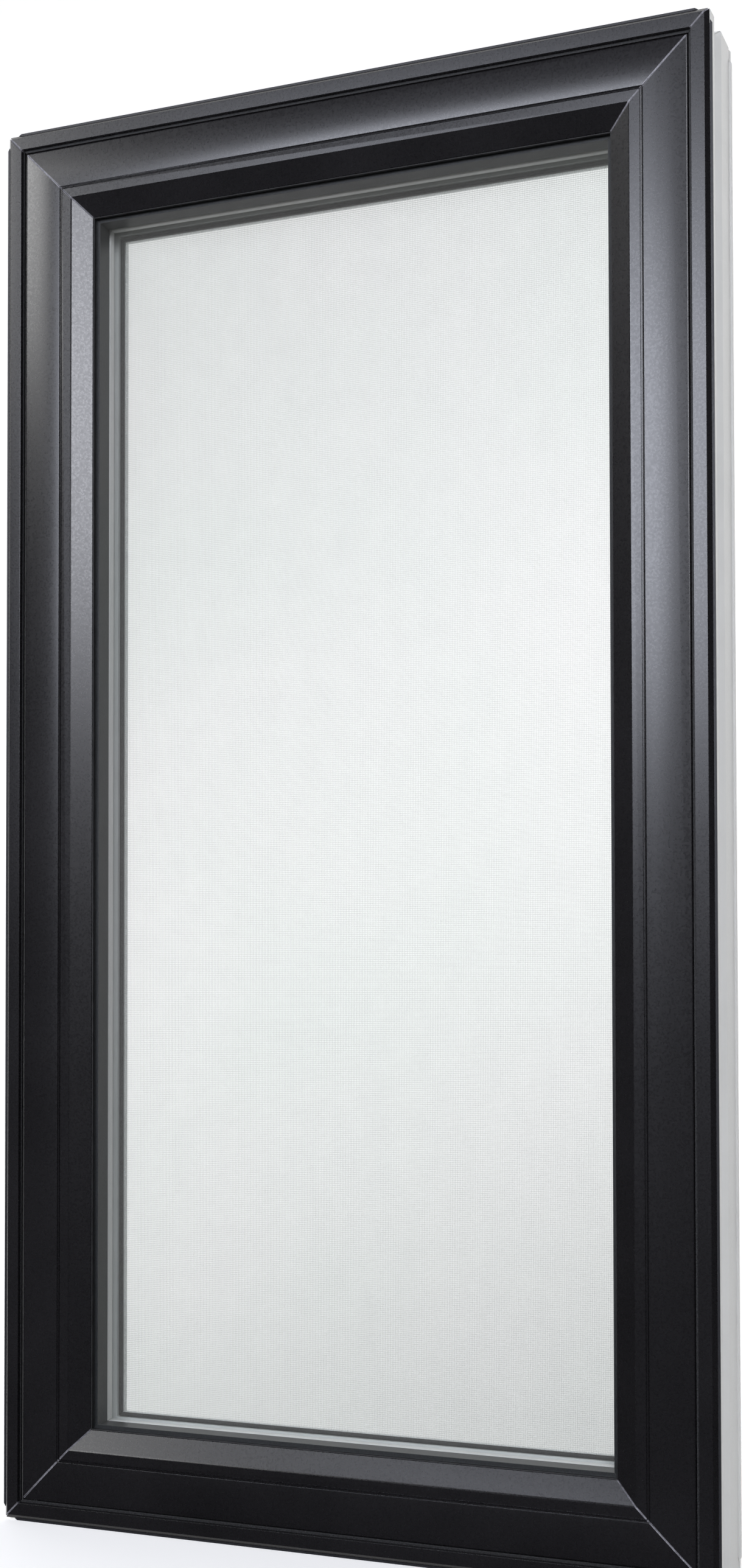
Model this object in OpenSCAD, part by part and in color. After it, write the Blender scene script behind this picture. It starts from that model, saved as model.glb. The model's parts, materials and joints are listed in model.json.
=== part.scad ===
// Crank-operated casement window: welded vinyl frame, swinging glazed sash, crank operator,
// tie-bar lock and interior insect screen.
// Frame: X to the right seen from outside, +Y into the room, +Z up.
// Origin: underside of the sill, centre of its flat foot.
// Profiles are drawn as [s, t]: s runs inward from the frame's outer face, t runs inward from
// the frame's outermost (weather) plane.

/* [Frame] */
// Overall width of the frame body
frame_w = 610; // [520:1:900]
// Overall height of the frame body
frame_h = 1183; // [800:1:1600]
// Depth of the frame from weather face to room face
frame_d = 80; // [76:0.5:96]
// Set-back of the nose from the frame's outer face
nose_inset = 3.75; // [2:0.25:6]
// Width of the nose's front face
nose_w = 10.25; // [8:0.25:14]
// Depth of the nose
nose_d = 8; // [7:0.25:8]
// Height of the hardware channel's floor
floor_s = 11; // [10:0.5:12]
// Depth of the stop wall behind the weather plane
stop_t = 47; // [46.5:0.5:50]
// Height of the frame's room-side leg
leg_s = 60; // [52:1:62]
// Thickness of the frame's outer walls
wall = 2.2; // [1.8:0.1:2.8]
// How far the groove strips stand out of the frame's outer face
strip_proud = 1.6; // [0:0.1:3]
// Distance from the frame's corner to the end of each groove strip
strip_end = 9; // [8:1:30]

/* [Sash] */
// Gap between the frame's nose and the sash edge
sash_gap = 2.8; // [2.6:0.1:4]
// Width of the sash rail's weather face, edge to sight line
sash_face_w = 61.6; // [56:0.2:70]
// Depth of the sash's lip, where the hardware groove starts
lip_t = 12.5; // [12:0.1:12.9]
// Width of the hardware groove behind the lip
hardware_groove = 11.2; // [10.6:0.2:13]
// Depth of the sash's room face
sash_back_t = 44.5; // [44:0.1:44.8]
// Wall of the sash profile
sash_wall = 3; // [2:0.2:4]
// Rounding of the sash's outer corners
sash_corner_r = 2.5; // [1:0.5:4]

/* [Glass] */
// Thickness of each pane
pane = 3; // [3:0.5:4]
// Cavity between the panes
cavity = 16; // [12:1:16]
// Width of the sealed edge, glass edge to sight line
seal_w = 13.3; // [12:0.1:15]
// Clearance between glass edge and rebate floor
glass_clear = 3; // [2:0.5:4]

/* [Hinge and operator] */
// Hinge pin's distance from the sash edge
pivot_in = 22; // [21:0.5:26]
// Hinge pin's depth behind the weather plane
pivot_t = 18; // [18:0.1:18.5]
// Hinge pin's radius
pin_r = 3; // [2.5:0.1:3.2]
// Distance from the hinge axis to the operator's arm pivot, across the frame
operator_x = 204; // [200:1:208]
// Depth of the operator's arm pivot
operator_t = 60; // [60:0.5:61]
// Length of the operator's arm
arm_len = 190; // [186:1:194]
// Slope of the crank shaft
shaft_tilt = 20; // [10:1:25]
// Crank handle length, shaft to knob
crank_len = 80; // [60:1:95]
// Radial clearance of every running fit
fit_clear = 0.05; // [0.02:0.01:0.1]

/* [Lock] */
// Height of the lock handle's axis
lock_z = 380; // [300:1:500]
// Height of the lower keeper above the sill
keeper_low_z = 260; // [200:1:320]
// Distance of the upper keeper below the frame's top
keeper_high_drop = 263; // [200:1:400]
// Travel of the tie bar
lock_travel = 35; // [30:0.5:36]
// Pitch radius of the lock pinion
pinion_r = 14.32; // [14.32]

/* [Screen] */
// Gap between the screen frame and the window frame
screen_gap = 1; // [0.5:0.1:2]
// Width of the screen frame's flat face
screen_face_w = 20.9; // [16:0.1:24]
// Thickness of the screen frame
screen_d = 11; // [9:0.5:12]
// Diameter of the spline that holds the mesh
spline_w = 3.4; // [3:0.1:4]

/* [Installation] */
// Radius of the jamb screw holes
jamb_hole_r = 2.4; // [2:0.1:3]
// Depth of the jamb screw holes behind the weather plane
jamb_hole_t = 28; // [26.5:0.5:28]
// Distance between the two screw holes of each jamb
jamb_hole_pitch = 800; // [500:10:900]

/* [Hidden] */
$fn = 48;
SIDES = ["sill", "head", "left", "right"];

// Finishes
black_vinyl = "#3a383c";
white_vinyl = "#e8e8e5";
black_rubber = "#161617";
steel = "#b9bcc0";
glass_tint = [0.80, 0.88, 0.86, 0.35];

// Pan-head screws
screw_r = 1.8;
screw_len = 8;
screw_head_r = 3.3;
screw_head_h = 1.7;

// Places shared by all profiles
origin_t = 57.5;
foot_front_t = 43;
strip_w = 5;
rear_strip_t = origin_t * 2 - foot_front_t;
fin_t = 3.6;
fin_w = 1.2;
strip_root = 3;
fin_root = 5;
nose_s = nose_inset + nose_w;
hollow_s = 4.2;
hollow_front_t = 19;
hollow_slope = 5;
stop_s = leg_s + 6;
stop_w = 4;
over = 10;
mitre_reach = 115;

// Sash places
sash_s = nose_s + sash_gap;
sight_s = sash_s + sash_face_w;
body_s = sash_s + hardware_groove;
face_t = 1.1;
edge_t = 3.3;
line_s = sash_s + 34.2;
bevel_s = sash_s + 46;
bevel_t = 10.5;
rebate_front_t = 12;
gasket_w = 2;
glass_t = rebate_front_t + gasket_w;
tape_w = 1;
bead_t = glass_t + 2 * pane + cavity + tape_w;
dark_sight_s = sight_s + 3.9;
glass_s = dark_sight_s - seal_w;
rebate_s = glass_s - glass_clear;
bead_seat = 6;
chamber_s = body_s + sash_wall;
chamber_t = lip_t + sash_wall - 0.5;
spacer_h = 7.8;

// Hinge axis and operator places
hinge_x = -frame_w / 2 + sash_s + pivot_in;
hinge_y = pivot_t - origin_t;
arm_x = hinge_x + operator_x;
arm_y = operator_t - origin_t;
track_t = 36.5;
arm_tilt = asin((operator_t - track_t) / arm_len);
roller_x = arm_x + arm_len * cos(arm_tilt);
roller_y = track_t - origin_t;
leaf_w = 2.5;
leaf_len = 78;
leaf_front_t = 12.8;
leaf_depth = 15.4;
arm_z = nose_s + sash_gap - 0.1;
arm_w = 2.7;
arm_half = 7;
gear_z = arm_z + arm_w + 3;
gear_w = 6;
gear_r = 14.8;
worm_r = 4.6;
worm_x = arm_x + gear_r + worm_r + 0.2;
shaft_z = gear_z + gear_w / 2;
journal_r = 4.5;
base_w = 2.7;
cover_front = 40;
pocket_z = 42;
slot_top = arm_z + arm_w + 1.6;
roller_r = 5.4;
stud_r = 2.5;
track_inner = 6.2;
track_wall = 1.4;
track_drop = 7.8;

// Lock places
keeper_high_z = frame_h - keeper_high_drop;
bar_t = 36;
bar_w = 11;
bar_s = floor_s + 1.6;
bar_th = 2.5;
keeper_gap = 4.2;
pinion_s = bar_s + bar_th + 14.9;
pinion_t = stop_t + 2.5;
pinion_w = 6;
lock_x = frame_w / 2 - pinion_s;
plate_d = 6;
plate_half = 15;
handle_r = 5;
handle_len = 98;
rack_low = 60;
rack_high = 30;
teeth = 30;
stud_len = 8;

// Screen places
screen_s = leg_s + screen_gap;
screen_t = stop_t + stop_w + 0.4;
web_s = screen_s + screen_face_w;
mesh_w = 0.4;
mesh_t = screen_t + 5.8;
spline_s = web_s + 0.1;
screen_in_s = spline_s + spline_w;
key_len = screen_in_s + 10;
plunger_z = 300;
plunger_r = 2;
plunger_len = 18;
plunger_bite = 5;
plunger_travel = 6;
plunger_t = screen_t + screen_d / 2 + 1.5;
screen_wall = 1.2;
tab_r = 1.5;

// ---- placing and profile helpers ----

// Height of a depth coordinate t along Y
function at(t) = t - origin_t;

// Length of the frame side that a rail runs along
function side_len(side) = (side == "sill" || side == "head") ? frame_w : frame_h;

// Rectangle in profile coordinates
function box2(s0, t0, s1, t1) = [[s0, t0], [s1, t0], [s1, t1], [s0, t1]];

// Puts a rail drawn along the sill onto one side of the frame
module on_side(side) {
    if (side == "sill") children();
    if (side == "head") translate([0, 0, frame_h]) rotate([0, 180, 0]) children();
    if (side == "left") translate([-frame_w / 2, 0, frame_h / 2]) rotate([0, 90, 0]) children();
    if (side == "right") translate([frame_w / 2, 0, frame_h / 2]) rotate([0, -90, 0]) children();
}

// Straight bar of a [s, t] profile, centred along X
module bar(len, outline) {
    translate([-len / 2, 0, 0])
        rotate([90, 0, 90])
            linear_extrude(height = len)
                polygon([for (p = outline) [at(p[1]), p[0]]]);
}

// Everything between the two 45 degree mitre planes of a side; gap draws both planes in
module mitre_wedge(len, gap = 0) {
    translate([0, frame_d, 0])
        rotate([90, 0, 0])
            linear_extrude(height = 2 * frame_d)
                polygon([
                    [-len / 2 - over + gap, -over], [len / 2 + over - gap, -over],
                    [len / 2 - mitre_reach - gap, mitre_reach],
                    [-len / 2 + mitre_reach + gap, mitre_reach]
                ]);
}

module mitred(len, outline, gap = 0) {
    intersection() {
        bar(len, outline);
        mitre_wedge(len, gap);
    }
}

// Four mitred lengths round the frame, a hairline apart at the corners
module mitred_ring(outline) {
    for (side = SIDES)
        on_side(side) mitred(side_len(side), outline, 0.05);
}

// ---- frame ----

frame_outline = [
    [nose_inset, 0], [nose_s, 0], [nose_s, nose_d], [floor_s, nose_d],
    [floor_s, stop_t], [stop_s, stop_t], [stop_s, stop_t + stop_w], [leg_s, stop_t + stop_w],
    [leg_s, frame_d], [0, frame_d],
    [0, rear_strip_t + strip_w], [strip_root, rear_strip_t + strip_w],
    [strip_root, rear_strip_t], [0, rear_strip_t],
    [0, foot_front_t], [hollow_s, foot_front_t - hollow_slope],
    [hollow_s, hollow_front_t + hollow_slope], [0, hollow_front_t],
    [0, fin_t + fin_w], [fin_root, fin_t + fin_w], [fin_root, fin_t], [0.3, fin_t]
];

module frame_rail(side) {
    len = side_len(side);
    web = (floor_s + leg_s - wall) / 2;
    difference() {
        mitred(len, frame_outline);
        bar(len, box2(strip_root + wall, stop_t + wall, floor_s - wall, frame_d - wall));
        bar(len, box2(floor_s, stop_t + wall, web - wall / 2, frame_d - wall));
        bar(len, box2(web + wall / 2, stop_t + wall, leg_s - wall, frame_d - wall));
        bar(len, box2(wall, nose_d + 0.8, floor_s - wall, nose_d + 8));
    }
}

module frame_sill() {
    color(white_vinyl) difference() {
        frame_rail("sill");
        // Pocket for the operator and the low slot that its arm swings in
        translate([arm_x - 32, at(stop_t) - 1, floor_s])
            cube([72, frame_d - stop_t + 2, pocket_z - floor_s]);
        translate([arm_x - 60, at(stop_t) - 1, floor_s])
            cube([235, frame_d - stop_t - 3, slot_top - floor_s]);
        operator_screw_places() screw_hole();
        frame_leaf_screw_places() screw_hole();
        cover_pegs(peg_r + fit_clear, 2 * peg_len - 1);
    }
}

module frame_head() {
    color(white_vinyl) difference() {
        on_side("head") frame_rail("head");
        flip_up() frame_leaf_screw_places() screw_hole();
    }
}

module frame_left_jamb() {
    color(white_vinyl) difference() {
        on_side("left") frame_rail("left");
        jamb_screw_holes(-frame_w / 2);
        plunger_hole(-1);
    }
}

module frame_right_jamb() {
    color(white_vinyl) difference() {
        on_side("right") frame_rail("right");
        jamb_screw_holes(frame_w / 2);
        plunger_hole(1);
        // Pocket for the lock pinion, slot for the tie bar's rack, hole for the handle's shaft
        lock_box(floor_s, stop_t - 1, lock_z - 17, pinion_s + 17, stop_t + 15, lock_z + 17);
        lock_box(floor_s, stop_t - 1, lock_z - rack_low - 2, bar_s + 6, stop_t + 12,
            lock_z + rack_high + lock_travel + 2);
        lock_frame() along_y(handle_r + 0.6, stop_t + 14, frame_d + 1);
        escutcheon_screw_places() rotate([-90, 0, 0]) screw_hole();
    }
}

// Hole that a screw's shank fills, its seat at the origin and the shank downward
module screw_hole() {
    translate([0, 0, -screw_len - 1]) cylinder(r = screw_r + fit_clear, h = screw_len + 12);
}

module jamb_screw_holes(x) {
    for (k = [-1, 1])
        translate([x, at(jamb_hole_t), frame_h / 2 + k * jamb_hole_pitch / 2])
            rotate([0, 90, 0])
                cylinder(r = jamb_hole_r, h = 4 * floor_s, center = true);
}

// Strips that close the installation grooves, short of the corners with chamfered ends
module groove_strip(side, t0, w, root) {
    len = side_len(side) - 2 * strip_end;
    on_side(side)
        translate([-len / 2, at(t0) + w, 0])
            rotate([90, 0, 0])
                linear_extrude(height = w)
                    polygon([
                        [strip_root, root], [len - strip_root, root], [len - strip_root, 0],
                        [len, 0], [len - strip_proud * 1.6, -strip_proud],
                        [strip_proud * 1.6, -strip_proud], [0, 0], [strip_root, 0]
                    ]);
}

module front_groove_strips() {
    color(black_vinyl) for (side = SIDES) groove_strip(side, fin_t, fin_w, fin_root);
}

module rear_groove_strips() {
    color(white_vinyl) for (side = SIDES) groove_strip(side, rear_strip_t, strip_w, strip_root);
}

// Wiper on the nose; on the hinge side the sash edge turns past it, so it stays shorter
module frame_weatherstrip() {
    color(black_rubber) for (side = SIDES)
        on_side(side)
            mitred(side_len(side),
                box2(nose_s, 3.5, nose_s + (side == "left" ? 0.9 : sash_gap - 0.4), 6), 0.05);
}

// Bulb seal on the stop wall, just clear of the closed sash
module stop_seal() {
    color(black_rubber) mitred_ring(box2(leg_s - 11, sash_back_t + 0.3, leg_s - 5, stop_t));
}

// ---- sash ----

sash_outline = [
    [sash_s, edge_t + 1.5], [sash_s + 0.45, edge_t + 0.35], [sash_s + 1.5, edge_t - 0.3],
    [sash_s + 12, face_t + 0.75], [sash_s + 23, face_t + 0.2],
    [line_s, face_t], [line_s + 0.2, face_t + 0.9], [line_s + 0.7, face_t + 0.9],
    [line_s + 0.9, face_t], [line_s + 2, face_t], [line_s + 2.2, face_t + 0.9],
    [line_s + 2.7, face_t + 0.9], [line_s + 2.9, face_t],
    [bevel_s - 1, face_t], [bevel_s, face_t + 0.9], [sight_s, bevel_t],
    [sight_s, rebate_front_t], [rebate_s, rebate_front_t], [rebate_s, bead_t],
    [rebate_s - bead_seat, bead_t], [rebate_s - bead_seat, sash_back_t],
    [body_s + 2, sash_back_t], [body_s, sash_back_t - 2], [body_s, lip_t], [sash_s, lip_t]
];

// Upright slab with rounded corners that trims the sash's outer corners
module sash_corners() {
    r = sash_corner_r;
    for (x = [-1, 1]) for (z = [sash_s + r, frame_h - sash_s - r])
        translate([x * (frame_w / 2 - sash_s - r), frame_d, z])
            rotate([90, 0, 0]) cylinder(r = r, h = 2 * frame_d);
    translate([-frame_w / 2 + sash_s, -frame_d, sash_s + r])
        cube([frame_w - 2 * sash_s, 2 * frame_d, frame_h - 2 * (sash_s + r)]);
    translate([-frame_w / 2 + sash_s + r, -frame_d, sash_s])
        cube([frame_w - 2 * (sash_s + r), 2 * frame_d, frame_h - 2 * sash_s]);
}

module sash_rail(side) {
    len = side_len(side);
    difference() {
        mitred(len, sash_outline);
        bar(len, box2(chamber_s, chamber_t, rebate_s - bead_seat - sash_wall,
            sash_back_t - sash_wall));
        bar(len, box2(sash_s + sash_wall, edge_t + 2.4, bevel_s - 2, lip_t - 2.5));
    }
}

module sash_bottom_rail() {
    color(black_vinyl) difference() {
        intersection() {
            sash_rail("sill");
            sash_corners();
        }
        sash_leaf_screw_places() mirror([0, 0, 1]) screw_hole();
    }
}

module sash_top_rail() {
    color(black_vinyl) difference() {
        intersection() {
            on_side("head") sash_rail("head");
            sash_corners();
        }
        flip_up() sash_leaf_screw_places() mirror([0, 0, 1]) screw_hole();
    }
}

module sash_hinge_stile() {
    color(black_vinyl) intersection() {
        on_side("left") sash_rail("left");
        sash_corners();
    }
}

module sash_lock_stile() {
    color(black_vinyl) intersection() {
        on_side("right") sash_rail("right");
        sash_corners();
    }
}

// Box section slid into the chamber of each stile
module stile_reinforcements() {
    s0 = chamber_s + 0.3;
    s1 = rebate_s - bead_seat - sash_wall - 0.3;
    t0 = chamber_t + 0.3;
    t1 = sash_back_t - sash_wall - 0.3;
    len = frame_h - 2 * (sight_s + 20);
    color(steel) for (side = ["left", "right"])
        on_side(side) difference() {
            bar(len, box2(s0, t0, s1, t1));
            bar(len + 2, box2(s0 + 1.5, t0 + 1.5, s1 - 1.5, t1 - 1.5));
        }
}

module pane_at(t) {
    translate([-frame_w / 2 + glass_s, at(t), glass_s])
        cube([frame_w - 2 * glass_s, pane, frame_h - 2 * glass_s]);
}

module outer_pane() {
    color(glass_tint) pane_at(glass_t);
}

module inner_pane() {
    color(glass_tint) pane_at(glass_t + pane + cavity);
}

module pane_spacer() {
    color("#3c3c3e") mitred_ring(
        box2(dark_sight_s - spacer_h, glass_t + pane, dark_sight_s, glass_t + pane + cavity));
}

module edge_sealant() {
    color(black_rubber) mitred_ring(
        box2(glass_s, glass_t + pane, dark_sight_s - spacer_h, glass_t + pane + cavity));
}

// Gasket between the sash lip and the glass, with a nose past the lip's edge
module outer_glazing_gasket() {
    color(black_rubber) mitred_ring([
        [glass_s + 1, rebate_front_t], [sight_s + 0.05, rebate_front_t],
        [sight_s + 0.05, bevel_t + 0.6], [sight_s + 0.9, bevel_t + 0.9],
        [sight_s + 0.9, glass_t], [glass_s + 1, glass_t]
    ]);
}

module inner_glazing_tape() {
    color(black_rubber) mitred_ring(
        box2(glass_s + 2, bead_t - tape_w, dark_sight_s - 1.5, bead_t));
}

module setting_blocks() {
    color("#303030") for (x = [-1, 1])
        translate([x * (frame_w / 4 - glass_s / 2) - 40, at(glass_t), rebate_s])
            cube([80, 2 * pane + cavity, glass_clear]);
}

module glazing_bead(side) {
    color(white_vinyl) on_side(side) mitred(side_len(side), [
        [rebate_s - bead_seat, bead_t], [dark_sight_s - 1, bead_t],
        [dark_sight_s, bead_t + 1], [dark_sight_s, sash_back_t - 1.5],
        [dark_sight_s - 1.5, sash_back_t], [rebate_s - bead_seat, sash_back_t]
    ], 0.05);
}

module bottom_glazing_bead() {
    glazing_bead("sill");
}

module top_glazing_bead() {
    glazing_bead("head");
}

module left_glazing_bead() {
    glazing_bead("left");
}

module right_glazing_bead() {
    glazing_bead("right");
}

// ---- hinges ----

// Mirrors a lower hinge piece to the head
module flip_up() {
    translate([0, 0, frame_h]) mirror([0, 0, 1]) children();
}

module leaf_screw_xy() {
    for (dx = [20, 42, 62])
        translate([hinge_x + dx, at(leaf_front_t + leaf_depth / 2), 0]) children();
}

module frame_leaf_screw_places() {
    leaf_screw_xy() translate([0, 0, floor_s]) children();
}

module sash_leaf_screw_places() {
    leaf_screw_xy() translate([0, 0, body_s]) children();
}

module leaf_plate(z) {
    difference() {
        union() {
            translate([hinge_x, at(leaf_front_t), z]) cube([leaf_len, leaf_depth, leaf_w]);
            translate([hinge_x, hinge_y, z]) cylinder(r = pivot_t - leaf_front_t, h = leaf_w);
        }
        translate([hinge_x, hinge_y, z - 1]) cylinder(r = pin_r + fit_clear, h = leaf_w + 2);
        leaf_screw_xy() translate([0, 0, z]) screw_hole();
    }
}

module lower_hinge_frame_leaf() {
    color(steel) leaf_plate(floor_s);
}

module upper_hinge_frame_leaf() {
    color(steel) flip_up() leaf_plate(floor_s);
}

module lower_hinge_sash_leaf() {
    color(steel) leaf_plate(body_s - leaf_w);
}

module upper_hinge_sash_leaf() {
    color(steel) flip_up() leaf_plate(body_s - leaf_w);
}

module hinge_pin() {
    translate([hinge_x, hinge_y, floor_s + 0.1]) cylinder(r = pin_r, h = body_s - floor_s - 0.3);
}

module hinge_pins() {
    color(steel) {
        hinge_pin();
        flip_up() hinge_pin();
    }
}

module hinge_bushing() {
    z0 = floor_s + leaf_w;
    translate([hinge_x, hinge_y, z0]) difference() {
        cylinder(r = pivot_t - leaf_front_t - 0.2, h = body_s - leaf_w - z0 - 0.15);
        translate([0, 0, -1]) cylinder(r = pin_r + fit_clear, h = body_s);
    }
}

module hinge_bushings() {
    color("#e6e4dc") {
        hinge_bushing();
        flip_up() hinge_bushing();
    }
}

// Pan-head screw, head upward, its seat at the origin
module pan_screw() {
    translate([0, 0, -screw_len]) cylinder(r = screw_r, h = screw_len + 0.01);
    difference() {
        cylinder(r = screw_head_r, h = screw_head_h);
        for (a = [0, 90])
            rotate([0, 0, a]) translate([-screw_head_r * 0.55, -0.4, screw_head_h - 0.8])
                cube([screw_head_r * 1.1, 0.8, 1]);
    }
}

// Screws of both frame leaves, the operator's base and the lock's escutcheon
module frame_screws() {
    color(steel) {
        frame_leaf_screw_places() translate([0, 0, leaf_w]) pan_screw();
        flip_up() frame_leaf_screw_places() translate([0, 0, leaf_w]) pan_screw();
        operator_screw_places() translate([0, 0, base_w]) pan_screw();
        escutcheon_screw_places() translate([0, plate_d, 0]) rotate([-90, 0, 0]) pan_screw();
    }
}

module sash_screws() {
    color(steel) {
        sash_leaf_screw_places() translate([0, 0, -leaf_w]) mirror([0, 0, 1]) pan_screw();
        flip_up() sash_leaf_screw_places() translate([0, 0, -leaf_w]) mirror([0, 0, 1])
            pan_screw();
    }
}

// ---- operator ----

// Frame of the crank shaft: +Y out along the shaft, +X sideways, +Z across it
module shaft_frame() {
    translate([worm_x, arm_y, shaft_z]) rotate([shaft_tilt, 0, 0]) children();
}

// Cylinder along the shaft from y0 to y1
module along_shaft(r, y0, y1) {
    translate([0, y1, 0]) rotate([90, 0, 0]) cylinder(r = r, h = y1 - y0);
}

base_left = 28; // from the arm pivot to the base plate's ends, its front edge and its depth
base_right = 34;
base_front = 2;
base_depth = 30;
block_half = 7; // upright block round the shaft
block_front = 23;
block_depth = 8;
block_h = 27;
base_screws = [[-22, -6], [-22, 14], [4, 14]];

module operator_screw_places() {
    for (p = base_screws)
        translate([arm_x + p[0], arm_y + p[1], floor_s]) children();
}

// Base plate with the upright block that carries the crank shaft
module operator_base() {
    color("#8f9296") difference() {
        union() {
            translate([arm_x - base_left, at(stop_t) + base_front, floor_s])
                cube([base_left + base_right, base_depth, base_w]);
            translate([worm_x - block_half, at(stop_t) + block_front, floor_s])
                cube([2 * block_half, block_depth, block_h]);
        }
        shaft_frame() along_shaft(journal_r + fit_clear, 0, cover_front);
        operator_screw_places() screw_hole();
    }
}

pin_head = 1.6;
pin_play = 0.3; // between a pin's head and what turns under it

module arm_pivot_pin() {
    foot_z = floor_s + base_w;
    head_z = gear_z + gear_w + pin_play;
    color(steel) translate([arm_x, arm_y, 0]) {
        translate([0, 0, foot_z]) cylinder(r = pin_r, h = head_z - foot_z);
        translate([0, 0, foot_z]) cylinder(r = 2 * pin_r, h = arm_z - 0.2 - foot_z);
        translate([0, 0, head_z]) cylinder(r = 2 * pin_r, h = pin_head);
    }
}

arm_eye_r = 10;
arm_boss_r = 8;
roller_h = 6;

// Arm as it lies with the sash closed: pivot hub, blade and the stud for the roller
module operator_arm() {
    arm_top = arm_z + arm_w;
    color(steel) {
        difference() {
            union() {
                translate([arm_x, arm_y, arm_z]) cylinder(r = arm_eye_r, h = arm_w);
                translate([arm_x, arm_y, arm_z]) cylinder(r = arm_boss_r, h = gear_z - arm_z);
                translate([arm_x, arm_y, arm_z]) rotate([0, 0, -arm_tilt])
                    translate([0, -arm_half, 0]) cube([arm_len, 2 * arm_half, arm_w]);
                translate([roller_x, roller_y, arm_z]) cylinder(r = arm_half + 1, h = arm_w);
            }
            translate([arm_x, arm_y, arm_z - 1]) cylinder(r = pin_r + fit_clear, h = gear_z);
        }
        translate([roller_x, roller_y, arm_top - 0.01]) cylinder(r = stud_r, h = roller_h + 0.8);
    }
}

// Corners of one tooth as shares of the tooth pitch: root, tip, tip, root
tooth_share = [-0.32, -0.16, 0.16, 0.32];

function gear_points(teeth, r_out, r_root) = [
    for (k = [0 : teeth - 1]) for (q = [0 : 3])
        let (a = (k + tooth_share[q]) * 360 / teeth,
             r = (q == 0 || q == 3) ? r_root : r_out)
        [r * cos(a), r * sin(a)]
];

arm_teeth = 32;
arm_tooth_depth = 1.4;

module arm_gear() {
    color("#6f7276") translate([arm_x, arm_y, gear_z]) difference() {
        linear_extrude(height = gear_w)
            polygon(gear_points(arm_teeth, gear_r, gear_r - arm_tooth_depth));
        translate([0, 0, -1]) cylinder(r = pin_r + fit_clear, h = gear_w + 2);
    }
}

module arm_roller() {
    color("#dcdad2") translate([roller_x, roller_y, arm_z + arm_w + pin_play]) difference() {
        cylinder(r = roller_r, h = roller_h);
        translate([0, 0, -1]) cylinder(r = stud_r + fit_clear, h = roller_h + 2);
    }
}

// Inverted channel under the sash rail that the roller runs in
module sash_track() {
    len = operator_x + arm_len;
    w = track_inner + track_wall;
    color(steel) translate([hinge_x + 12, roller_y, body_s - track_drop]) difference() {
        translate([0, -w, 0]) cube([len, 2 * w, track_drop]);
        translate([-1, -track_inner, -1]) cube([len + 2, 2 * track_inner, track_drop - 0.2]);
    }
}

// Room-side cover: its front is square to the crank shaft
cover_low = 5;
cover_high = leg_s - 3;
cover_edge = 3; // chamfer along its upper and lower edges
cover_left = 95; // from the shaft to the cover's ends
cover_right = 55;
cover_wall = 2.2;
cover_hole_r = 8;
function cover_y(z, front) =
    arm_y + front * cos(shaft_tilt) - (z - shaft_z - front * sin(shaft_tilt)) * tan(shaft_tilt);

module cover_solid(inset) {
    x0 = worm_x - cover_left;
    x1 = worm_x + cover_right;
    zl = cover_low + inset;
    zh = cover_high - inset;
    y0 = at(frame_d) - (inset > 0 ? 1 : 0);
    front = cover_front - inset;
    translate([x0 + inset, 0, 0]) rotate([90, 0, 90])
        linear_extrude(height = x1 - x0 - 2 * inset)
            polygon([[y0, zl], [cover_y(zl, front) - cover_edge, zl],
                [cover_y(zl + cover_edge, front), zl + cover_edge],
                [cover_y(zh - cover_edge, front), zh - cover_edge],
                [cover_y(zh, front) - cover_edge, zh], [y0, zh]]);
}

peg_r = 2.9;
peg_len = 5.5;
peg_places = [-78, 40]; // from the shaft, along the cover

// Round pegs that snap the cover into the sill's room face; reach is how far they go in
module cover_pegs(r, reach) {
    for (dx = peg_places)
        translate([worm_x + dx, at(frame_d) + 1, (cover_low + cover_high) / 2])
            rotate([90, 0, 0]) cylinder(r = r, h = reach + 1);
}

module operator_cover() {
    color(white_vinyl) {
        difference() {
            cover_solid(0);
            cover_solid(cover_wall);
            shaft_frame() along_shaft(cover_hole_r, cover_front / 2, 1.5 * cover_front);
        }
        intersection() {
            translate([0, cover_front, 0]) cover_pegs(2 * peg_r, cover_front - 1);
            cover_solid(1);
        }
        cover_pegs(peg_r, peg_len);
    }
}

worm_pitch = 2.6;
worm_start = -4;
spline_r = 3.9;
spline_y0 = 44; // the splined end, along the shaft
spline_y1 = 52;

// Splined shaft with the worm that drives the arm's gear
module crank_shaft() {
    color(steel) shaft_frame() {
        along_shaft(3.2, -5.5, 8);
        along_shaft(journal_r, 8, spline_y0);
        for (k = [0 : 3])
            along_shaft(worm_r, worm_start + worm_pitch * k, worm_start + 1.4 + worm_pitch * k);
        difference() {
            along_shaft(spline_r, spline_y0, spline_y1);
            for (a = [0 : 30 : 330]) rotate([0, a, 0])
                translate([-0.4, spline_y0 - 1, spline_r - 0.5])
                    cube([0.8, spline_y1 - spline_y0 + 2, 1]);
        }
    }
}

hub_y0 = cover_front + 2;
hub_y1 = 55;
hub_r = 9.5;
hinge_fold_y = 62;
fold_pin_r = 2;
fork_half = 9;
eye_half = 4.5;
neck_w = 8;
stud_neck_r = 2.5;

module crank_hub() {
    color("#e2e2df") shaft_frame() difference() {
        union() {
            along_shaft(hub_r, hub_y0, hub_y1);
            translate([-6, hub_y1 - 5, -fork_half]) cube([13, 17, 2 * fork_half]);
        }
        along_shaft(journal_r, 0, spline_y1 + 0.5);
        // Fork slot for the lever's eye and the bore of its pin
        translate([-7, hub_y1, -eye_half - 0.2]) cube([16, 20, 2 * eye_half + 0.4]);
        translate([0, hinge_fold_y, -fork_half - 3]) cylinder(r = fold_pin_r, h = 2 * fork_half + 6);
    }
}

module fold_pin() {
    color(steel) shaft_frame() translate([0, hinge_fold_y, -fork_half])
        cylinder(r = fold_pin_r, h = 2 * fork_half);
}

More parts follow.
